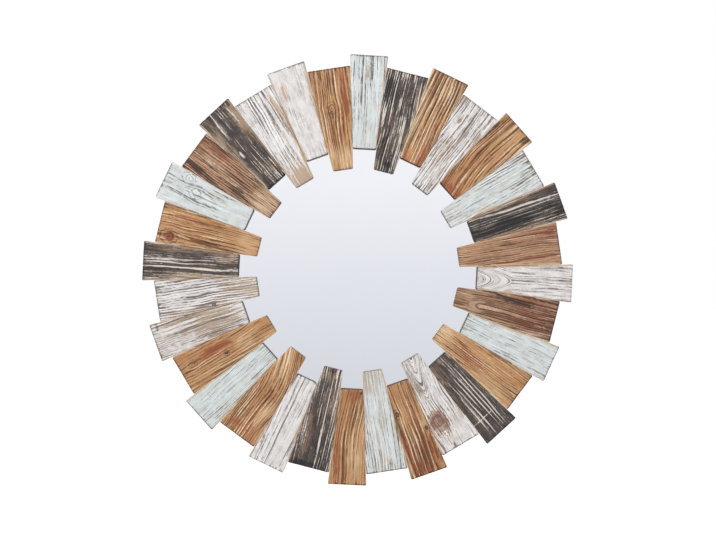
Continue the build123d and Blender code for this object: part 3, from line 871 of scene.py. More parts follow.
class Relief:
    """Turns a grid into one brushed stave and works out what its surface wears."""

    BORDER = (0.0, 0.3, 0.7, 1.15, 1.7, 2.4)  # distances of the outermost rows from the edge, mm
    ACROSS = 108  # cells between the borders
    ALONG = 112
    WALL = (0.12, 0.45, 1.0, 1.0)  # how far down the wall each extruded row lies, as a share
    BACK_MARGIN = 0.8  # the last row lies this far in from the back's edge, mm
    CORNER = 2.4  # radius of a worn corner, mm
    FILLET = 2.4  # radius of a rounded corner over what it leaves free of its point
    LEAST_ROUNDED = 2.0  # mm left free, from which an inner left corner counts as rounded
    SHARP = 75.0  # edges turn hard above this angle, degrees
    SAWN = 0.22  # depth of the saw's marks on the walls, mm
    SEED_STEP = 1000
    SALT = 31.0  # how far apart two staves' figures lie in the finishes' noise
    FACE_PATCH = ((0.01, 0.01), (0.82, 0.98))  # corner and size of the face in the map
    BACK_PATCH = ((0.85, 0.01), (0.13, 0.98))

    SWAY = Field(0, 70, 45)
    WAVE = Field(1, 22, 12, 1)
    RINGS = Field(3, 17, 500, 1)
    FIRMNESS = Field(2, 1 / 0.37, 110, shift=20)  # its first side, like the next two's, in rings
    BRIGHTNESS = Field(0, 1 / 0.41, 70, shift=60)
    # The next field varies, ring by ring, the dirt and shade painted in the grooves.
    SOIL_AND_SHADE = Field(5, 1 / 0.7, 40, 1)
    PLAIN = Field(2, 9, 14, 1)
    BROAD = Field(2, 9, 150)
    FINE = Field(4, 1.15, 42)
    PATCHES = Field(5, 13, 34, 3)
    BLOTCHES = Field(1, 30, 60, shift=5)
    FLECKS = Field(3, 1.3, 5.5, shift=50)
    GATE = Field(0, 6, 60, shift=40)
    RAGGED_LEFT = Field(5, 9, 1, 3, shift=30)
    RAGGED_RIGHT = Field(5, 9, 1, 3, shift=70)
    RAGGED_END = Field(3, 2.1, 30, 1)
    WOBBLE = Field(3, 3, 3, 1, shift=9)
    EDGE_WEAR = Field(1, 14, 1, shift=11)
    CHIPS = Field(2, 5, 1, shift=3)
    CUPPING = Field(0, 22, 60, shift=8)
    SAW = Field(4, 2.2, 5)

    def __init__(self, number: int, board: Board, blank: Blank) -> None:
        """Set out the stave.

        Args:
            number: Its number, clockwise from the top, which seeds its noise.
            board: Its recipe.
            blank: Its sawn outline.
        """
        self.number = number
        self.board = board
        self.blank = blank
        self.lattices = [Lattice(self.SEED_STEP * number + place) for place in range(6)]

    def _read(self, use: Field, first: np.ndarray, second: np.ndarray) -> np.ndarray:
        """Read the stave's noise.

        Args:
            use: The lattice and its cells.
            first: Places along the lattice's first side, mm.
            second: Places along its second side, mm.

        Returns:
            Values from 0 to 1.
        """
        cells = first / use.first + use.shift
        return self.lattices[use.lattice].rich(cells, second / use.second, use.octaves)

    def cells(self) -> tuple[int, int]:
        """Return how many cells the grid has across and along."""
        edges = 2 * (len(self.BORDER) - 1)
        return self.ACROSS + edges, self.ALONG + edges

    def schematic(self) -> bmesh.types.BMesh:
        """Make the closed grid that the stave is bent from.

        Returns:
            A mesh whose x and y are grid places and whose z counts rows down the wall.
        """
        across, along = self.cells()
        made = bmesh.new()
        bmesh.ops.create_grid(made, x_segments=across, y_segments=along, size=1.0)
        rim = [edge for edge in made.edges if edge.is_boundary]
        for _ in self.WALL:
            grown = bmesh.ops.extrude_edge_only(made, edges=rim)["geom"]
            lowered = [part for part in grown if isinstance(part, bmesh.types.BMVert)]
            rim = [part for part in grown if isinstance(part, bmesh.types.BMEdge) and part.is_boundary]
            bmesh.ops.translate(made, verts=lowered, vec=(0.0, 0.0, -1.0))
        bmesh.ops.holes_fill(made, edges=rim, sides=0)
        bmesh.ops.recalc_face_normals(made, faces=made.faces)
        return made

    def _spread(self, place: np.ndarray, cells: int, length: np.ndarray) -> np.ndarray:
        """Space the grid over a length, with close rows at both edges.

        Args:
            place: Grid places.
            cells: How many cells the length has.
            length: The length at each place, mm.

        Returns:
            How far each place lies from the first edge, mm.
        """
        border = np.array(self.BORDER)
        last = len(border) - 1
        inside = border[-1] + (length - 2 * border[-1]) * (place - last) / (cells - 2 * last)
        low = border[np.clip(place, 0, last).astype(int)]
        high = length - border[np.clip(cells - place, 0, last).astype(int)]
        return np.where(place < last, low, np.where(place > cells - last, high, inside))

    def lay_out(self, grid: np.ndarray) -> None:
        """Place the grid on the blank's outline and measure every point's place on it.

        Args:
            grid: The schematic's points.
        """
        across, along = self.cells()
        column = np.round((grid[:, 0] + 1) / 2 * across)
        row = np.round((grid[:, 1] + 1) / 2 * along)
        self.key = (column + row * (across + 1)).astype(int)
        self.level = np.round(-grid[:, 2]).astype(int)
        self.behind = self.level == len(self.WALL)
        b = self.blank
        sides = (b.inner_left, b.inner_right, b.outer_left, b.outer_right)
        inner_left, inner_right, outer_left, outer_right = (np.array(corner) for corner in sides)
        inner_width = np.linalg.norm(inner_right - inner_left)
        outer_width = np.linalg.norm(outer_right - outer_left)
        self.length = float(np.linalg.norm((outer_left + outer_right - inner_left - inner_right) / 2))
        self.up = self._spread(row, along, np.full(len(row), self.length))
        self.width = inner_width + (outer_width - inner_width) * self.up / self.length
        self.over = self._spread(column, across, self.width)
        beside, beyond = self.width - self.over, self.length - self.up
        self.edge = np.minimum(np.minimum(self.over, beside), np.minimum(self.up, beyond))
        self.outward = np.zeros((len(row), 2))
        self.outward[:, 0] = (column == across) * 1.0 - (column == 0) * 1.0
        self.outward[:, 1] = (row == along) * 1.0 - (row == 0) * 1.0
        for right in (False, True):
            for outer in (False, True):
                self._round_corner(right, outer)
        self.u = self.over / self.width
        self.v = self.up / self.length
        self.x = self.over - self.width / 2
        self.y = self.up
        share_u, share_v = self.u[:, None], self.v[:, None]
        inner_place = inner_left * (1 - share_u) + inner_right * share_u
        outer_place = outer_left * (1 - share_u) + outer_right * share_u
        self.plan = inner_place * (1 - share_v) + outer_place * share_v

    def _round_corner(self, right: bool, outer: bool) -> None:
        """Pull the grid's square corner in to an arc.

        Args:
            right: Whether it is on the clockwise side.
            outer: Whether it is at the outer end.
        """
        radius = self.CORNER
        if not (right or outer) and self.blank.rounded > self.LEAST_ROUNDED:
            radius = max(radius, self.blank.rounded * self.FILLET)
        side = self.width - self.over if right else self.over
        end = self.length - self.up if outer else self.up
        in_corner = (side < radius) & (end < radius)
        reach = np.stack([radius - side, radius - end], 1) * in_corner[:, None]
        size = np.linalg.norm(reach, axis=1)
        pull = np.where(size > 0, reach.max(1) / np.maximum(size, 1e-9), 1.0)
        side = np.where(in_corner, radius - reach[:, 0] * pull, side)
        end = np.where(in_corner, radius - reach[:, 1] * pull, end)
        self.over = self.width - side if right else side
        self.up = self.length - end if outer else end
        signs = np.array([1.0 if right else -1.0, 1.0 if outer else -1.0])
        aslant = reach * signs / np.maximum(size, 1e-9)[:, None]
        self.outward = np.where((in_corner & (size > 0))[:, None], aslant, self.outward)

    def _phase(self) -> np.ndarray:
        """Find the grain's own place across the stave.

        Returns:
            Millimetres from the centreline, constant along each line of the grain.
        """
        board, x, y = self.board, self.x, self.y
        wander = (self._read(self.SWAY, y, x) - 0.5) * 5.0
        wander += (self._read(self.WAVE, y, x) - 0.5) * 1.1
        phase = x + wander - board.tilt * (self.v - 0.5)
        bend = np.clip(1 - self.v / board.sweep_from, 0, None) ** 1.6
        phase = phase - board.sweep * bend
        for arch in board.arches:
            x_mid, y_mid = self.blank.place(arch.u, arch.v, self.length)
            aside = phase - x_mid
            behind = np.clip((y_mid - y) * math.copysign(1.0, arch.spread), 0, arch.reach)
            parted = aside**2 - abs(arch.spread) * behind
            nested = np.clip(-parted, 0, None) / (3 * math.sqrt(abs(arch.spread)))
            beside = np.sign(aside) * np.sqrt(np.clip(parted, 0, None))
            phase = x_mid + np.where(parted > 0, beside, nested)
        for knot in board.knots:
            x_mid, y_mid = self.blank.place(knot.u, knot.v, self.length)
            aside = x - x_mid
            hold = knot.radius * knot.push * np.exp(-(((y - y_mid) / (knot.radius * 3.2)) ** 2))
            pressed = aside * np.abs(aside) / np.sqrt(aside**2 + hold**2 + 1e-6)
            phase = phase + (pressed - aside) * np.exp(-((aside / (knot.radius * 6)) ** 2))
        return phase

    def _grain(self) -> Grain:
        """Read the wood's figure from the noise.

        Returns:
            The figure.
        """
        board, phase, x, y = self.board, self.phase, self.x, self.y
        blurred = self.v + 0.12 * (self._read(self.PLAIN, x, y) - 0.5)
        fine = self._read(self.FINE, phase, y)
        patchy = self._read(self.PATCHES, x, y)
        flecks = self._read(self.FLECKS, phase, y)
        rings = phase / board.pitch + 2.2 * self._read(self.RINGS, phase, y)
        ring = np.floor(rings)
        part = rings - ring
        firm = 0.15 + 1.1 * self._read(self.FIRMNESS, ring, y)
        bright = 0.1 + 1.2 * self._read(self.BRIGHTNESS, ring, y)
        dotted = 1 - board.speckle * ease(0.44, 0.60, flecks)
        return Grain(
            ring=ring,
            groove=part**2.2 * ease(1.0, 0.88, part) * firm * 1.5 * dotted,
            ridge=ease(0.0, 0.08, part) * ease(0.44, 0.14, part) * bright,
            hair=ease(0.48, 0.32, fine) * (0.35 + 1.2 * patchy) * board.fine * dotted,
            hair_ridge=ease(0.52, 0.68, fine) * (0.4 + patchy),
            dotted=dotted,
            plain=board.smooth_inner * ease(0.42, 0.12, blurred),
            broad=self._read(self.BROAD, phase, y),
            fine=fine,
            patchy=patchy,
            blotch=self._read(self.BLOTCHES, x, y),
            flecks=flecks,
        )

    def brush(self) -> None:
        """Work out the grain, the knots, the marks and the depth of the relief."""
        self.phase = self._phase()
        grain = self._grain()
        cut = 0.85 * grain.groove + 0.3 * grain.hair + 0.2 * ease(0.6, 0.3, grain.broad)
        self.cut = np.clip(cut, 0, 1.15) * (1 - 0.8 * grain.plain)
        self.layers = self._weathered(grain)
        self._wear_edges()
        self._lay_marks(grain)
        for knot in self.board.knots:
            self._lay_knot(knot)
        self.layers = {layer: np.clip(value, 0, 1) for layer, value in self.layers.items()}

    def _weathered(self, grain: Grain) -> dict[Layer, np.ndarray]:
        """Work out what the weather and the brush left everywhere, and the highlights painted on the
        ridges and the shade painted in the grooves.

        Args:
            grain: The wood's figure.

        Returns:
            The strength of each layer at every point.
        """
        board, finish = self.board, self.board.finish
        lines = 1.25 * grain.groove + 0.75 * grain.hair + 0.45 * ease(0.42, 0.72, grain.broad) - 0.16
        lost = 0.8 * grain.groove * (0.4 + 1.2 * grain.patchy)
        lost = lost + 0.55 * grain.hair * (0.3 + 1.2 * grain.blotch) + 0.45 * ease(0.52, 0.8, grain.blotch)
        # Highlights painted on the ridges, with the pale wear there.
        gate = 0.35 + 0.75 * ease(0.38, 0.6, self._read(self.GATE, self.phase, self.y))
        lit = (grain.ridge * 0.95 + grain.hair_ridge * 0.6) * gate * grain.dotted
        # Shade painted in the grooves, with the dirt there.
        soil_and_shade = 0.35 + 0.9 * ease(0.35, 0.7, self._read(self.SOIL_AND_SHADE, grain.ring, self.y))
        dirt = 1.1 * grain.groove * soil_and_shade + 0.78 * grain.hair
        kept = 1 - 0.75 * grain.plain
        pale = 0.5 * ease(0.5, 0.75, grain.patchy) * (0.5 * grain.ridge + 0.4) + 0.35 * grain.ridge
        return {
            LATE: finish.late_share * board.streak * lines * kept,
            RED: 0.4 * ease(0.5, 0.75, grain.blotch) * (finish.paint is None),
            PALE: pale,
            KNOT: np.zeros(len(self.phase)),
            COVER: finish.cover - finish.wear * board.worn * lost,
            TAN: np.zeros(len(self.phase)),
            CHALK_AND_HIGHLIGHT: finish.chalk_and_highlight_share * board.streak * lit * kept,
            GRIME_AND_SHADE: finish.groove_grime_and_shade * board.streak * dirt * kept,
        }

    def _wear_edges(self) -> None:
        """Bare the wood along both sides and darken both ends."""
        board, still = self.board, np.zeros(len(self.y))
        left = self.over + 3.4 * (self._read(self.RAGGED_LEFT, self.y, still) - 0.5)
        right = self.width - self.over + 3.4 * (self._read(self.RAGGED_RIGHT, self.y, still) - 0.5)
        bare = np.maximum(board.tan_left * ease(4.4, 0.9, left), board.tan_right * ease(4.4, 0.9, right))
        self.layers[TAN] = self.layers[TAN] + bare
        ragged = 2.8 * (self._read(self.RAGGED_END, self.x, self.y) - 0.5)
        dark_outer = board.dark_outer * ease(3.4, 0.6, self.length - self.up + ragged)
        dark_inner = board.dark_inner * ease(3.2, 0.2, self.up + ragged) * 0.8
        self.layers[GRIME_AND_SHADE] = self.layers[GRIME_AND_SHADE] + dark_outer + dark_inner

    def _lay_marks(self, grain: Grain) -> None:
        """Add the recipe's streaks, stains and patches along the grain.

        Args:
            grain: The wood's figure, which frays their edges.
        """
        frayed = (grain.fine - 0.5) * 1.5 + (grain.patchy - 0.5) * 1.2
        frayed = frayed + (grain.flecks - 0.5) * 0.8 + (grain.blotch - 0.5) * 1.4
        grained = 0.45 + 0.75 * ease(0.3, 0.62, grain.fine) + 0.35 * grain.groove
        for mark in self.board.marks:
            x_mid, y_mid = self.blank.place(mark.u, mark.v, self.length)
            aside, ahead = (self.phase - x_mid) / mark.wide, (self.y - y_mid) / mark.long
            off = np.sqrt(aside**2 + ahead**2 + 1e-9)
            shape = ease(1.7, 0.35, off + frayed * min(1.0, mark.wide / 3)) * grained
            self.layers[mark.layer] = self.layers[mark.layer] + mark.strength * shape

    def _lay_knot(self, knot: Knot) -> None:
        """Draw a knot's body, its rings and the dirt round it.

        Args:
            knot: The knot.
        """
        layers = self.layers
        x_mid, y_mid = self.blank.place(knot.u, knot.v, self.length)
        wobble = (self._read(self.WOBBLE, self.x, self.y) - 0.5) * 0.5
        aside, ahead = (self.x - x_mid) / knot.radius, (self.y - y_mid) / (knot.radius * 1.25)
        out = np.sqrt(aside**2 + ahead**2) + wobble
        rings = 0.5 + 0.5 * np.cos(out * 8.0)
        body = ease(1.15, 0.8, out)
        outline = ease(0.7, 0.95, rings) * ease(1.9, 1.5, out)
        pale = 0.5 * (1 - knot.dark) * ease(0.3, 0.1, rings) * body
        layers[GRIME_AND_SHADE] = np.maximum(layers[GRIME_AND_SHADE] * (1 - body), 0.75 * outline)
        layers[CHALK_AND_HIGHLIGHT] = np.maximum(layers[CHALK_AND_HIGHLIGHT] * (1 - body), pale)
        layers[KNOT] = np.maximum(layers[KNOT], knot.dark * body * (0.55 + 0.45 * rings))
        layers[LATE] = layers[LATE] + 0.8 * ease(1.9, 1.1, out) * (1 - body) * rings
        layers[COVER] = layers[COVER] - knot.dark * ease(1.5, 0.9, out)
        self.cut = self.cut * (1 - body) + body * (0.25 + 0.35 * rings)

    def _depth(self, around: np.ndarray) -> np.ndarray:
        """Work out how deep the brush, the wear and the chips went.

        Args:
            around: Each point's place along its nearest edge, mm.

        Returns:
            The depth below the sawn face, mm.
        """
        worn = 0.9 + 1.3 * self._read(self.EDGE_WEAR, around, self.u * 3)
        drop = np.clip(worn - self.edge, 0, None)
        round_off = worn - np.sqrt(np.clip(worn**2 - drop**2, 0, None))
        chipped = ease(0.66, 0.86, self._read(self.CHIPS, around, self.u * 4 + self.v * 3))
        fade = ease(0.0, 1.6, self.edge) * 0.6 + 0.4
        depth = self.board.relief * self.cut * fade + round_off * 0.8
        depth = depth + chipped * ease(3.0, 0.4, self.edge) * 0.9
        return depth + 0.25 * self._read(self.CUPPING, self.x, self.y)

    def carve(self) -> np.ndarray:
        """Place every point of the stave in space.

        Returns:
            The points, in metres.
        """
        b = self.blank
        around = np.where(np.abs(self.outward[:, 0]) > 0.7, self.y, self.x)
        depth = self._depth(around)
        down = np.array((0.0, *self.WALL))[self.level]
        top = depth[self._top_of_wall()]
        self.height = (b.thick - np.where(self.level == 0, depth, top)) * (1 - down)
        on_wall = (self.level > 0) & (down < 1)
        sawn = self.SAWN * self._read(self.SAW, around, self.height) * on_wall
        inset = sawn + self.BACK_MARGIN * self.behind
        along = (b.outer_left + b.outer_right - b.inner_left - b.inner_right).normalized()
        across = np.array((along.y, -along.x))
        push = self.outward[:, :1] * across + self.outward[:, 1:] * np.array(along)
        plan = self.plan - push * inset[:, None]
        return np.stack([plan[:, 0], b.back - self.height, plan[:, 1]], 1) * MM

    def _top_of_wall(self) -> np.ndarray:
        """Find the point at the top of each point's wall.

        Returns:
            Its number, which is the point's own on the face.
        """
        first = np.zeros(self.key.max() + 1, int)
        top = self.level == 0
        first[self.key[top]] = np.nonzero(top)[0]
        return first[self.key]

    def build(self) -> bpy.types.Mesh:
        """Make the finished mesh with its attributes and its map.

        Returns:
            The mesh.
        """
        mesh = as_mesh(f"stave_{self.number:02d}_relief", self.schematic())
        grid = np.empty(len(mesh.vertices) * 3)
        mesh.vertices.foreach_get("co", grid)
        self.lay_out(grid.reshape(-1, 3))
        self.brush()
        mesh.vertices.foreach_set("co", self.carve().ravel())
        self._write_attributes(mesh)
        self._write_map(mesh)
        mesh.shade_smooth()
        mesh.set_sharp_from_angle(angle=math.radians(self.SHARP))
        mesh.update()
        return mesh

    def _write_attributes(self, mesh: bpy.types.Mesh) -> None:
        """Store what the finishes read: the figure's place, the wood's and the coat's layers.

        Args:
            mesh: The stave's mesh.
        """
        count = len(self.y)
        for layer, value in self.layers.items():
            value[self.behind] = 0.25 if layer is LATE else 0.0
        walled = self.level > 0
        # Shade painted on the inner end's wall, for the shadow between the stave's end and the mirror:
        # strong on odd staves, faint on even ones.
        end_grain = walled & (self.outward[:, 1] < -0.5)
        painted_end_shade = 0.9 if self.number % 2 else 0.3
        self.layers[GRIME_AND_SHADE] = np.clip(self.layers[GRIME_AND_SHADE] + end_grain * painted_end_shade, 0, 1)
        self.layers[COVER][walled] *= 0.5
        grain = np.where(self.behind, self.x, self.phase)
        figure = np.stack([grain, self.y, np.full(count, self.number * self.SALT)], 1)
        store(mesh, "figure", "FLOAT_VECTOR", "vector", figure)
        for name in ("wood", "coat"):
            channels = [self.layers[layer] for layer in Layer if layer.attribute == name]
            store(mesh, name, "FLOAT_COLOR", "color", np.stack(channels, 1))
        store(mesh, "tone", "FLOAT", "value", np.full(count, self.board.tone))

    def _write_map(self, mesh: bpy.types.Mesh) -> None:
        """Unfold the stave: its walls lie round its face, and its back beside them.

        Args:
            mesh: The stave's mesh, whose last face is its back.
        """
        unrolled = self.blank.thick - self.height + self.BACK_MARGIN * self.behind
        spread = np.stack([self.x, self.y], 1) + self.outward * unrolled[:, None]
        low, high = spread.min(0), spread.max(0)
        unit = (spread - low) / (high - low)
        corners = np.empty(len(mesh.loops), np.int32)
        mesh.loops.foreach_get("vertex_index", corners)
        back = mesh.polygons[len(mesh.polygons) - 1].loop_start
        places = np.empty((len(corners), 2))
        for part, (corner, size) in ((slice(back), self.FACE_PATCH), (slice(back, None), self.BACK_PATCH)):
            places[part] = unit[corners[part]] * size + corner
        layer = mesh.uv_layers.new(name="OFBake")
        layer.data.foreach_set("uv", places.ravel())


GRIT = {  # cells per mm across and along the grain, octaves and how much of each the next one keeps
    "fibre": (1.5, 0.05, 3.0, 0.6),
    "pore": (3.6, 0.28, 2.0, 0.6),
    "cloud": (0.12, 0.05, 2.0, 0.5),
    "fleck": (0.9, 0.34, 3.0, 0.65),
}
BUMP = 0.00035  # depth of the timber's pores, m


def timber(finish: Finish) -> bpy.types.Material:
    """Make the material of one finish, which reads the relief's attributes.

    Args:
        finish: Its colours and wear.

    Returns:
        The material.
    """
    material = bpy.data.materials.new(finish.slot)
    g = Graph(material)
    figure = g.attribute("figure", "Vector")
    layers: dict[Layer, Sock] = {}
    for name in ("wood", "coat"):
        colours = {0: g.attribute(name, "Color")}
        alpha = g.attribute(name, "Alpha")
        for layer in (layer for layer in Layer if layer.attribute == name):
            channel = layer.channel
            layers[layer] = g.node("ShaderNodeSeparateColor", {}, colours, channel) if channel < 3 else alpha
    fibre, pore, cloud, fleck = (
        g.noise(g.stretched(figure, (across, along, 1.0)), 1.0, octaves, rough) - 0.5
        for across, along, octaves, rough in GRIT.values()
    )

    late = (layers[LATE] + fibre * 0.9 + pore * 0.5 + fleck * 0.5).eased(0.15, 0.95)
    red = (layers[RED] + fibre * 0.4).eased(0.1, 1.0)
    pale = (layers[PALE] + fibre * 0.5).eased(0.15, 1.0)
    knot = (layers[KNOT] + pore * 0.2).eased(0.1, 0.9)
    tan = (layers[TAN] + pore * 0.5 + fibre * 0.4).eased(0.2, 0.85, 0.85)
    # The next two masks paint highlights on the ridges and shade in the grooves and on the inner ends, along
    # with pale wear and dirt.
    chalk_and_highlight = (layers[CHALK_AND_HIGHLIGHT] + pore * 0.6 + fleck * 0.8).eased(0.2, 0.75)
    grime_and_shade = (layers[GRIME_AND_SHADE] + pore * 0.4 + fleck * 0.7).eased(0.2, 0.9, 0.9)

    colour = g.mix(late, linear(finish.early), linear(finish.late))
    for share, stain in ((red, finish.red), (pale, finish.pale), (knot, finish.knot)):
        colour = g.mix(share, colour, linear(stain))
    colour = g.tinted(colour, 1.0 + cloud * 0.4 + fibre * 0.35 + fleck * 0.45 + pore * 0.3)
    if finish.paint is not None:
        mottle = (cloud * 1.6 + 0.5 + pore * 0.7 + fleck * 1.1).eased(0.2, 0.9)
        held = (layers[COVER] + pore * 0.5 + fibre * 0.45 + fleck * 0.9).eased(0.34, 0.6)
        colour = g.mix(held, colour, g.mix(mottle, linear(finish.paint), linear(finish.paint_worn)))
    for share, coat in ((tan, finish.tan), (chalk_and_highlight, finish.chalk_and_highlight), (grime_and_shade, finish.grime_and_shade)):
        colour = g.mix(share, colour, linear(coat))
    colour = g.tinted(colour, g.attribute("tone", "Fac"))
    rough = finish.sheen + fibre * 0.25 + layers[GRIME_AND_SHADE] * 0.15
    height = fibre * 0.6 + pore * 0.5 + 0.5
    g.surface({"Base Color": colour, "Roughness": rough}, height, BUMP)
    return material


class StaveRing:
    """The 32 staves."""

    def build(self) -> None:
        """Replace each CAD stave by its brushed relief."""
        finishes = {f.slot: timber(f) for f in (HONEY, BROWN, WHITE, BLUE, CHARCOAL)}
        for number, board in enumerate(BOARDS, 1):
            node = f"stave_{number:02d}"
            mesh = Relief(number, board, Blank.of_node(node)).build()
            mesh.materials.append(finishes[board.finish.slot])
            piece = placed(f"{node}_timber", mesh)
            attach(piece, FRAME_BODY)
            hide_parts(node)
            log.info("%s: %s, %d faces", piece.name, board.finish.slot, len(mesh.polygons))


DEPTH_AXIS = (0.0, 1.0, 0.0)
WELD = 1e-6  # points closer than this become one, m
HARD_EDGE = 38.0  # the fittings' edges turn hard above this angle, degrees


def turned(profile: Iterable[tuple[float, float]], steps: int) -> bmesh.types.BMesh:
    """Turn a closed solid about the depth axis.

    Args:
        profile: Radius and y of each point from one end of the axis to the other, mm.
        steps: Sides of the solid.

    Returns:
        The solid, in metres.
    """
    made = bmesh.new()
    points = [made.verts.new((radius * MM, y * MM, 0.0)) for radius, y in profile]
    line = points + [made.edges.new(pair) for pair in zip(points, points[1:])]
    bmesh.ops.spin(
        made, geom=line, cent=(0.0, 0.0, 0.0), axis=DEPTH_AXIS, angle=math.tau, steps=steps, use_merge=True
    )
    bmesh.ops.remove_doubles(made, verts=made.verts, dist=WELD)
    bmesh.ops.recalc_face_normals(made, faces=made.faces)
    return made


def cut_away(body: bmesh.types.BMesh, cutter: bmesh.types.BMesh) -> bmesh.types.BMesh:
    """Cut one solid out of another.

    Args:
        body: The solid to keep, which is freed.
        cutter: The solid to cut away, which is freed.

    Returns:
        What is left.
    """
    held = [placed("blank", as_mesh("blank", solid)) for solid in (body, cutter)]
    cut = held[0].modifiers.new("recess", "BOOLEAN")
    cut.operation, cut.solver, cut.object = "DIFFERENCE", "EXACT", held[1]
    cut.use_self = True
    bpy.context.view_layer.update()
    drawn = bpy.data.meshes.new_from_object(held[0].evaluated_get(bpy.context.evaluated_depsgraph_get()))
    result = bmesh.new()
    result.from_mesh(drawn)
    spent = [drawn, *(piece.data for piece in held)]
    for piece in held:
        bpy.data.objects.remove(piece)
    for mesh in spent:
        bpy.data.meshes.remove(mesh)
    return result


def repeated(solid: bmesh.types.BMesh, places: Iterable[Vector]) -> bmesh.types.BMesh:
    """Copy a solid to several places in one mesh.

    Args:
        solid: The solid at the origin, which is freed.
        places: Where the copies go, in metres.

    Returns:
        A mesh of all the copies.
    """
    mesh = as_mesh("template", solid)
    made = bmesh.new()
    for place in places:
        before = len(made.verts)
        made.from_mesh(mesh)
        made.verts.ensure_lookup_table()
        bmesh.ops.translate(made, verts=made.verts[before:], vec=place)
    bpy.data.meshes.remove(mesh)
    return made


def stand_in(
    name: str, solid: bmesh.types.BMesh, node: str, material: bpy.types.Material, body: str = FRAME_BODY
) -> None:
    """Put a finished piece in the place of a CAD node.

    Args:
        name: The piece's name.
        solid: Its mesh, which is freed.
        node: The CAD node that it replaces.
        material: What it wears.
        body: The body that it rides on.
    """
    mesh = as_mesh(name, solid)
    mesh.shade_smooth()
    mesh.set_sharp_from_angle(angle=math.radians(HARD_EDGE))
    mesh.materials.append(material)
    piece = placed(name, mesh)
    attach(piece, body)
    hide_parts(node)
    log.info("%s: %s, %d faces", name, material.name, len(mesh.polygons))


@dataclass(frozen=True)
class PanScrew:
    """A pan-head screw with a cross recess, whose head sits on a face that looks backwards."""

    head_radius: float
    head_height: float
    shank_radius: float
    length: float
    seat: float  # y of the face under its head
    pitch: float = 1.3
    recess_width: float = 0.75

    SIDES = 28
    DOME = ((0.0, 1.0), (0.45, 0.985), (0.78, 0.86), (0.95, 0.6), (1.0, 0.3), (0.985, 0.0))  # of the head
    THREAD = ((0.72, 0.35), (0.72, 0.6), (1.0, 0.85))  # shares of the shank's radius and of the pitch
    PLAIN = 1.0  # length of shank under the head without thread, mm
    UNTHREADED = 3.0  # the same and the point together, mm
    POINT = 0.4  # where the core starts to taper behind the last crest, mm
    REACH = 0.62  # share of the head's radius that each arm of the recess reaches
    RECESS_HEIGHT = 1.4  # height of the recess's cutter over the head's, half of it above the head
    TAPER = 0.55  # width of the recess at its bottom over that at its mouth

    def solid(self) -> bmesh.types.BMesh:
        """Model the screw.

        Returns:
            Its solid on the depth axis.
        """
        radius, height, shank = self.head_radius, self.head_height, self.shank_radius
        outline = [(share * radius, rise * height) for share, rise in self.DOME]
        outline += [(shank, 0.0), (shank, -self.PLAIN)]
        for turn in range(int((self.length - self.UNTHREADED) / self.pitch)):
            start = -self.PLAIN - turn * self.pitch
            outline += [(share * shank, start - fall * self.pitch) for share, fall in self.THREAD]
        outline += [(self.THREAD[0][0] * shank, outline[-1][1] - self.POINT), (0.0, -self.length)]
        body = turned([(out, self.seat + rise) for out, rise in outline], self.SIDES)
        cutter = bmesh.new()
        reach, width = 2 * self.REACH * radius, self.recess_width
        for wide, high in ((reach, width), (width, reach)):
            arm = bmesh.ops.create_cube(cutter, size=MM)["verts"]
            bmesh.ops.scale(cutter, verts=arm, vec=(wide, self.RECESS_HEIGHT * height, high))
            bmesh.ops.translate(cutter, verts=arm, vec=(0.0, (self.seat + height) * MM, 0.0))
        for bottom in [face for face in cutter.faces if face.normal.y < -0.9]:
            bmesh.ops.scale(cutter, verts=bottom.verts, vec=(self.TAPER, 1.0, self.TAPER))
        return cut_away(body, cutter)


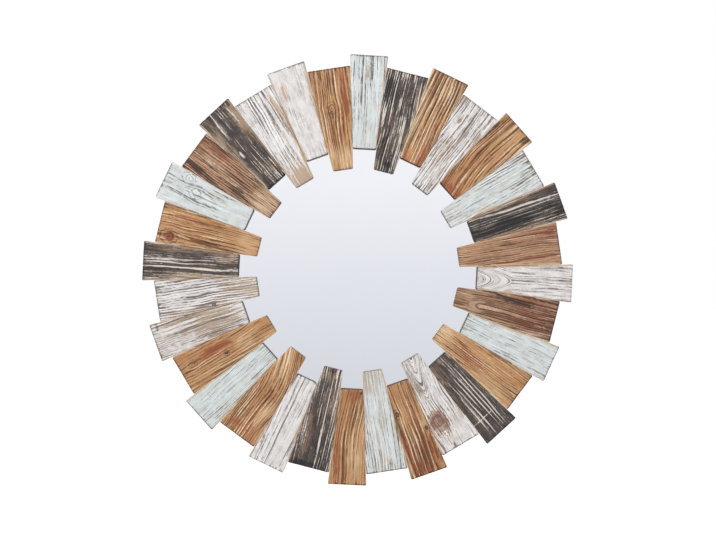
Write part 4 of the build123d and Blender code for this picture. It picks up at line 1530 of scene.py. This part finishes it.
@dataclass
class Hardware:
    """What holds the back together and hangs the mirror."""

    panel_circle: float = 218.5
    panel_turns: tuple[int, ...] = (30, 90, 150, 210, 270, 330)
    strap_drops: tuple[float, ...] = (24.0, 38.0)  # of each strap's screws below its hinge
    bumper_circle: float = 284.0
    bumper_turns: tuple[int, ...] = (30, 150, 210, 330)
    board_back: float = -6.0
    strap_back: float = -4.8
    wire: float = 1.3
    wire_sides: int = 20
    loop_width: float = 23.4
    loop_depth: float = 18.0
    loop_corner: float = 3.0
    corner_steps: int = 6
    bow_steps: int = 24
    bumper_steps: int = 40
    bumper_outline: tuple[tuple[float, float], ...] = (
        (0.0, -0.35), (2.2, -0.3), (3.6, 0.0), (4.4, -0.12), (4.85, -0.5),
        (5.05, -1.1), (6.3, -5.2), (6.5, -5.7), (6.5, -6.0), (0.0, -6.0),
    )

    def _round(self, circle: float, turns: Iterable[int]) -> list[Vector]:
        """Return places on a circle, clockwise from the top as seen from the front."""
        angles = [math.radians(turn) for turn in turns]
        return [Vector((circle * math.sin(a), 0.0, circle * math.cos(a))) * MM for a in angles]

    def _hinge(self, side: str) -> Vector:
        """Return the middle of a loop's bar."""
        low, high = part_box(f"hanger_loop_{side}")
        return Vector(((low[0] + high[0]) / 2, (low[1] + high[1]) / 2, high[2] - self.wire * MM))

    def _loop(self, side: str) -> bmesh.types.BMesh:
        """Bend a loop's wire: its bar, two corners, two legs and the round of its bow.

        Args:
            side: Which loop, left or right.

        Returns:
            Its solid, in place.
        """
        made = bmesh.new()
        half, corner = self.loop_width / 2, self.loop_corner
        bar, crown = half - corner, self.loop_depth - half
        section = bmesh.ops.create_circle(made, segments=self.wire_sides, radius=self.wire * MM)["verts"]
        bmesh.ops.rotate(made, verts=section, matrix=Matrix.Rotation(math.radians(90), 3, "Y"))
        bmesh.ops.translate(made, verts=section, vec=(bar * MM, 0.0, 0.0))
        rim = list(made.edges)
        rim = self._bend(made, rim, (bar, -corner), 90, self.corner_steps)
        rim = self._run(made, rim, (0.0, -(crown - corner)))
        rim = self._bend(made, rim, (0.0, -crown), 180, self.bow_steps)
        rim = self._run(made, rim, (0.0, crown - corner))
        rim = self._bend(made, rim, (-bar, -corner), 90, self.corner_steps)
        self._run(made, rim, (2 * bar, 0.0))
        bmesh.ops.remove_doubles(made, verts=made.verts, dist=WELD)
        bmesh.ops.recalc_face_normals(made, faces=made.faces)
        bmesh.ops.translate(made, verts=made.verts, vec=self._hinge(side))
        return made

    @staticmethod
    def _bend(
        made: bmesh.types.BMesh,
        rim: list[bmesh.types.BMEdge],
        middle: tuple[float, float],
        turn: float,
        steps: int,
    ) -> list[bmesh.types.BMEdge]:
        """Sweep a section round a bend in the loop's plane.

        Args:
            made: The wire so far.
            rim: The edges of its open end.
            middle: The bend's middle across and up, mm.
            turn: How far it goes round, degrees.
            steps: Its facets.

        Returns:
            The edges of the new end.
        """
        centre, angle = Vector((middle[0], 0.0, middle[1])) * MM, math.radians(turn)
        swept = bmesh.ops.spin(made, geom=rim, cent=centre, axis=DEPTH_AXIS, angle=angle, steps=steps)
        return [part for part in swept["geom_last"] if isinstance(part, bmesh.types.BMEdge)]

    @staticmethod
    def _run(
        made: bmesh.types.BMesh, rim: list[bmesh.types.BMEdge], move: tuple[float, float]
    ) -> list[bmesh.types.BMEdge]:
        """Sweep a section along a straight.

        Args:
            made: The wire so far.
            rim: The edges of its open end.
            move: The straight across and up, mm.

        Returns:
            The edges of the new end.
        """
        grown = bmesh.ops.extrude_edge_only(made, edges=rim)["geom"]
        moved = {part for part in grown if isinstance(part, bmesh.types.BMVert)}
        bmesh.ops.translate(made, verts=list(moved), vec=Vector((move[0], 0.0, move[1])) * MM)
        return [part for part in grown if isinstance(part, bmesh.types.BMEdge) and set(part.verts) <= moved]

    def build(self, zinc: bpy.types.Material, black: bpy.types.Material) -> None:
        """Replace the plain CAD fittings.

        Args:
            zinc: The metal's finish.
            black: The bumpers' finish.
        """
        small = PanScrew(3.0, 1.8, 1.5, 10.0, self.board_back)
        panel = repeated(small.solid(), self._round(self.panel_circle, self.panel_turns))
        stand_in("panel_screw_set", panel, "panel_screws", zinc)
        large = PanScrew(3.5, 2.2, 1.75, 10.0, self.strap_back, pitch=1.5, recess_width=0.9)
        hinges = [self._hinge(side) for side in ("left", "right")]
        places = [Vector((h.x, 0.0, h.z - drop * MM)) for h in hinges for drop in self.strap_drops]
        stand_in("strap_screw_set", repeated(large.solid(), places), "strap_screws", zinc)
        bumper = turned(self.bumper_outline, self.bumper_steps)
        bumpers = repeated(bumper, self._round(self.bumper_circle, self.bumper_turns))
        stand_in("bumper_set", bumpers, "wall_bumpers", black)
        for side in ("left", "right"):
            stand_in(f"wire_loop_{side}", self._loop(side), f"hanger_loop_{side}", zinc, f"loop_{side}")


def dress(nodes: Iterable[str], material: bpy.types.Material) -> None:
    """Give CAD nodes a material.

    Args:
        nodes: Their names.
        material: What they wear.
    """
    for name in nodes:
        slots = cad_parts[name].material_slots
        for slot in slots:
            slot.link = "OBJECT"
            slot.material = material
        log.info("%s: %s", name, material.name)


def silvered_glass() -> bpy.types.Material:
    """Make the mirror's finish: bright silver behind glass, with a trace of dust and haze.

    Returns:
        The material.
    """
    material = bpy.data.materials.new("mirror_glass")
    g = Graph(material)
    place = g.object_place()
    haze = g.noise(place, 9.0, 3.0)
    dust = g.noise(place, 900.0, 1.0)
    rough = haze.eased(0.45, 0.9, 0.02) + dust.eased(0.7, 0.9, 0.05) + 0.008
    colour = g.mix(haze.eased(0.3, 0.8, 0.5), linear((247, 247, 249)), linear((244, 245, 247)))
    g.surface({"Base Color": colour, "Metallic": 1.0, "Roughness": rough})
    return material


def board_finish(
    name: str, face: Colour, fleck: Colour, scale: float, roughness: float
) -> bpy.types.Material:
    """Make a pressed board's finish, a mat of short fibres.

    Args:
        name: The material's name.
        face: Its main colour.
        fleck: The colour of its fibres.
        scale: Fibres per metre.
        roughness: Of its face.

    Returns:
        The material.
    """
    material = bpy.data.materials.new(name)
    g = Graph(material)
    place = g.object_place()
    mat = g.noise(place, scale, 4.0, 0.7)
    cloud = g.noise(place, 14.0, 3.0)
    fibres = g.noise(g.stretched(place, (1.0, 1.0, 5.0)), scale * 0.35, 3.0, 0.6)
    colour = g.mix(mat.eased(0.45, 0.68), linear(face), linear(fleck))
    colour = g.tinted(colour, 0.9 + cloud * 0.22)
    height = mat * 0.6 + fibres * 0.4
    g.surface({"Base Color": colour, "Roughness": roughness + fibres * 0.12}, height, depth=0.0002)
    return material


def zinc_plate() -> bpy.types.Material:
    """Make bright zinc plating with its faint clouding.

    Returns:
        The material.
    """
    material = bpy.data.materials.new("zinc_steel")
    g = Graph(material)
    place = g.object_place()
    cloud = g.noise(place, 160.0, 3.0)
    grit = g.noise(place, 1400.0, 2.0)
    colour = g.mix(cloud.eased(0.35, 0.7), linear((206, 206, 202)), linear((182, 184, 184)))
    worn = {"Base Color": colour, "Metallic": 1.0, "Roughness": 0.24 + cloud * 0.18}
    g.surface(worn, grit, depth=0.00004)
    return material


def rubber() -> bpy.types.Material:
    """Make matt black rubber with a bloom of dust.

    Returns:
        The material.
    """
    material = bpy.data.materials.new("rubber")
    g = Graph(material)
    bloom = g.noise(g.object_place(), 220.0, 4.0)
    colour = g.mix(bloom.eased(0.4, 0.75), linear((34, 34, 35)), linear((58, 57, 56)))
    g.surface({"Base Color": colour, "Roughness": 0.72 + bloom * 0.2}, bloom, depth=0.0001)
    return material


class Studio:
    """The camera, the lamps, the floor and the surroundings."""

    FRAME_WIDTH = 1184.0  # mm that the picture spans at the staves' front
    CAMERA_DISTANCE = 1900.0  # mm in front of the staves
    SENSOR = 36.0  # width, mm
    FAR = 60.0  # m
    FLOOR_DROP = 900.0  # mm below the mirror's axis
    FLOOR_RADIUS = 24.0  # m
    LAMPS = (  # name, place and size in metres, and watts
        ("key", (-1.1, -1.9, 1.5), 1.3, 26.0),
        ("fill", (1.5, -2.1, 0.5), 1.6, 11.0),
        ("back", (0.3, 2.0, 1.2), 1.6, 22.0),
    )
    BRIGHT = (1.0, 1.0, 1.0, 1.0)
    ROOM = (196, 196, 198)  # what lights the object
    SEEN = (  # what the mirror shows, from below to above
        (0.0, (196, 198, 202)), (0.45, (220, 222, 227)), (0.5, (235, 237, 242)),
        (0.54, (249, 250, 253)), (1.0, (252, 252, 253)),
    )
    FLOOR = (236, 236, 237)

    def build(self) -> None:
        """Set up everything round the object."""
        self._camera()
        self._world()
        self._floor()
        for name, place, size, watts in self.LAMPS:
            self._lamp(name, place, size, watts)

    def _camera(self) -> None:
        """Place the camera on the mirror's axis."""
        lens = bpy.data.cameras.new("camera")
        camera = placed("camera", lens)
        front = CAD_BOX[0][1] / MM
        camera.location = (0.0, (front - self.CAMERA_DISTANCE) * MM, 0.0)
        camera.rotation_euler = (math.radians(90), 0.0, 0.0)
        lens.sensor_width = self.SENSOR
        lens.lens = self.SENSOR * self.CAMERA_DISTANCE / self.FRAME_WIDTH
        lens.clip_end = self.FAR
        bpy.context.scene.camera = camera

    @staticmethod
    def _lamp(name: str, place: tuple[float, float, float], size: float, watts: float) -> None:
        """Hang a square soft lamp that faces the mirror.

        Args:
            name: Its name.
            place: Where it hangs, in metres.
            size: Its side, in metres.
            watts: Its power.
        """
        lamp = bpy.data.lights.new(name, "AREA")
        lamp.shape, lamp.size, lamp.energy = "SQUARE", size, watts
        holder = placed(name, lamp)
        holder.location = place
        holder.rotation_euler = Vector(place).to_track_quat("Z", "Y").to_euler()

    def _world(self) -> None:
        """Light the room evenly: white to the camera, a pale gradient to a mirror."""
        world = bpy.data.worlds.new("room")
        bpy.context.scene.world = world
        g = Graph(world)
        place = g.node("ShaderNodeTexCoord", {}, {}, "Generated")
        height = g.node("ShaderNodeSeparateXYZ", {}, {0: place}, 2)
        seen = g.node("ShaderNodeValToRGB", {"stops": self.SEEN}, {0: height * 0.5 + 0.5})
        glossy = g.node("ShaderNodeLightPath", {}, {}, "Is Glossy Ray")
        camera = g.node("ShaderNodeLightPath", {}, {}, "Is Camera Ray")
        colour = g.mix(camera, g.mix(glossy, linear(self.ROOM), seen), self.BRIGHT)
        shader = g.node("ShaderNodeBackground", {}, {"Color": colour, "Strength": 1.0})
        g.node("ShaderNodeOutputWorld", {}, {"Surface": shader})

    def _floor(self) -> None:
        """Lay a wide pale floor that keeps the object's shadow and that no mirror shows."""
        made = bmesh.new()
        bmesh.ops.create_circle(made, cap_ends=True, segments=96, radius=self.FLOOR_RADIUS)
        bmesh.ops.translate(made, verts=made.verts, vec=(0.0, 0.0, -self.FLOOR_DROP * MM))
        floor = placed("floor", as_mesh("floor", made))
        material = bpy.data.materials.new("floor")
        g = Graph(material)
        camera = g.node("ShaderNodeLightPath", {}, {}, "Is Camera Ray")
        glossy = g.node("ShaderNodeLightPath", {}, {}, "Is Glossy Ray")
        lit = g.node("ShaderNodeBsdfDiffuse", {}, {"Color": linear(self.FLOOR)})
        glow = g.node("ShaderNodeEmission", {}, {"Color": self.BRIGHT, "Strength": camera * 0.6})
        both = g.node("ShaderNodeAddShader", {}, {0: lit, 1: glow})
        clear = g.node("ShaderNodeBsdfTransparent")
        shader = g.node("ShaderNodeMixShader", {}, {0: glossy, 1: both, 2: clear})
        g.node("ShaderNodeOutputMaterial", {}, {"Surface": shader})
        floor.data.materials.append(material)


def main() -> None:
    """Build the object and its surroundings."""
    logging.basicConfig(level=logging.INFO, format="%(name)s %(message)s")
    bpy.context.scene.view_settings.view_transform = "Standard"
    StaveRing().build()
    dress(("mirror_glass",), silvered_glass())
    dress(("mounting_ring",), board_finish("fibreboard", (178, 151, 116), (163, 136, 102), 2400.0, 0.8))
    dress(("back_panel",), board_finish("hardboard", (118, 84, 56), (92, 62, 40), 1300.0, 0.6))
    dress(("packing_sheet",), board_finish("packing_card", (186, 158, 120), (170, 140, 104), 700.0, 0.85))
    zinc = zinc_plate()
    dress(("stave_brads", "hanger_strap_left", "hanger_strap_right"), zinc)
    Hardware().build(zinc, rubber())
    Studio().build()


if __name__ == "__main__":
    main()
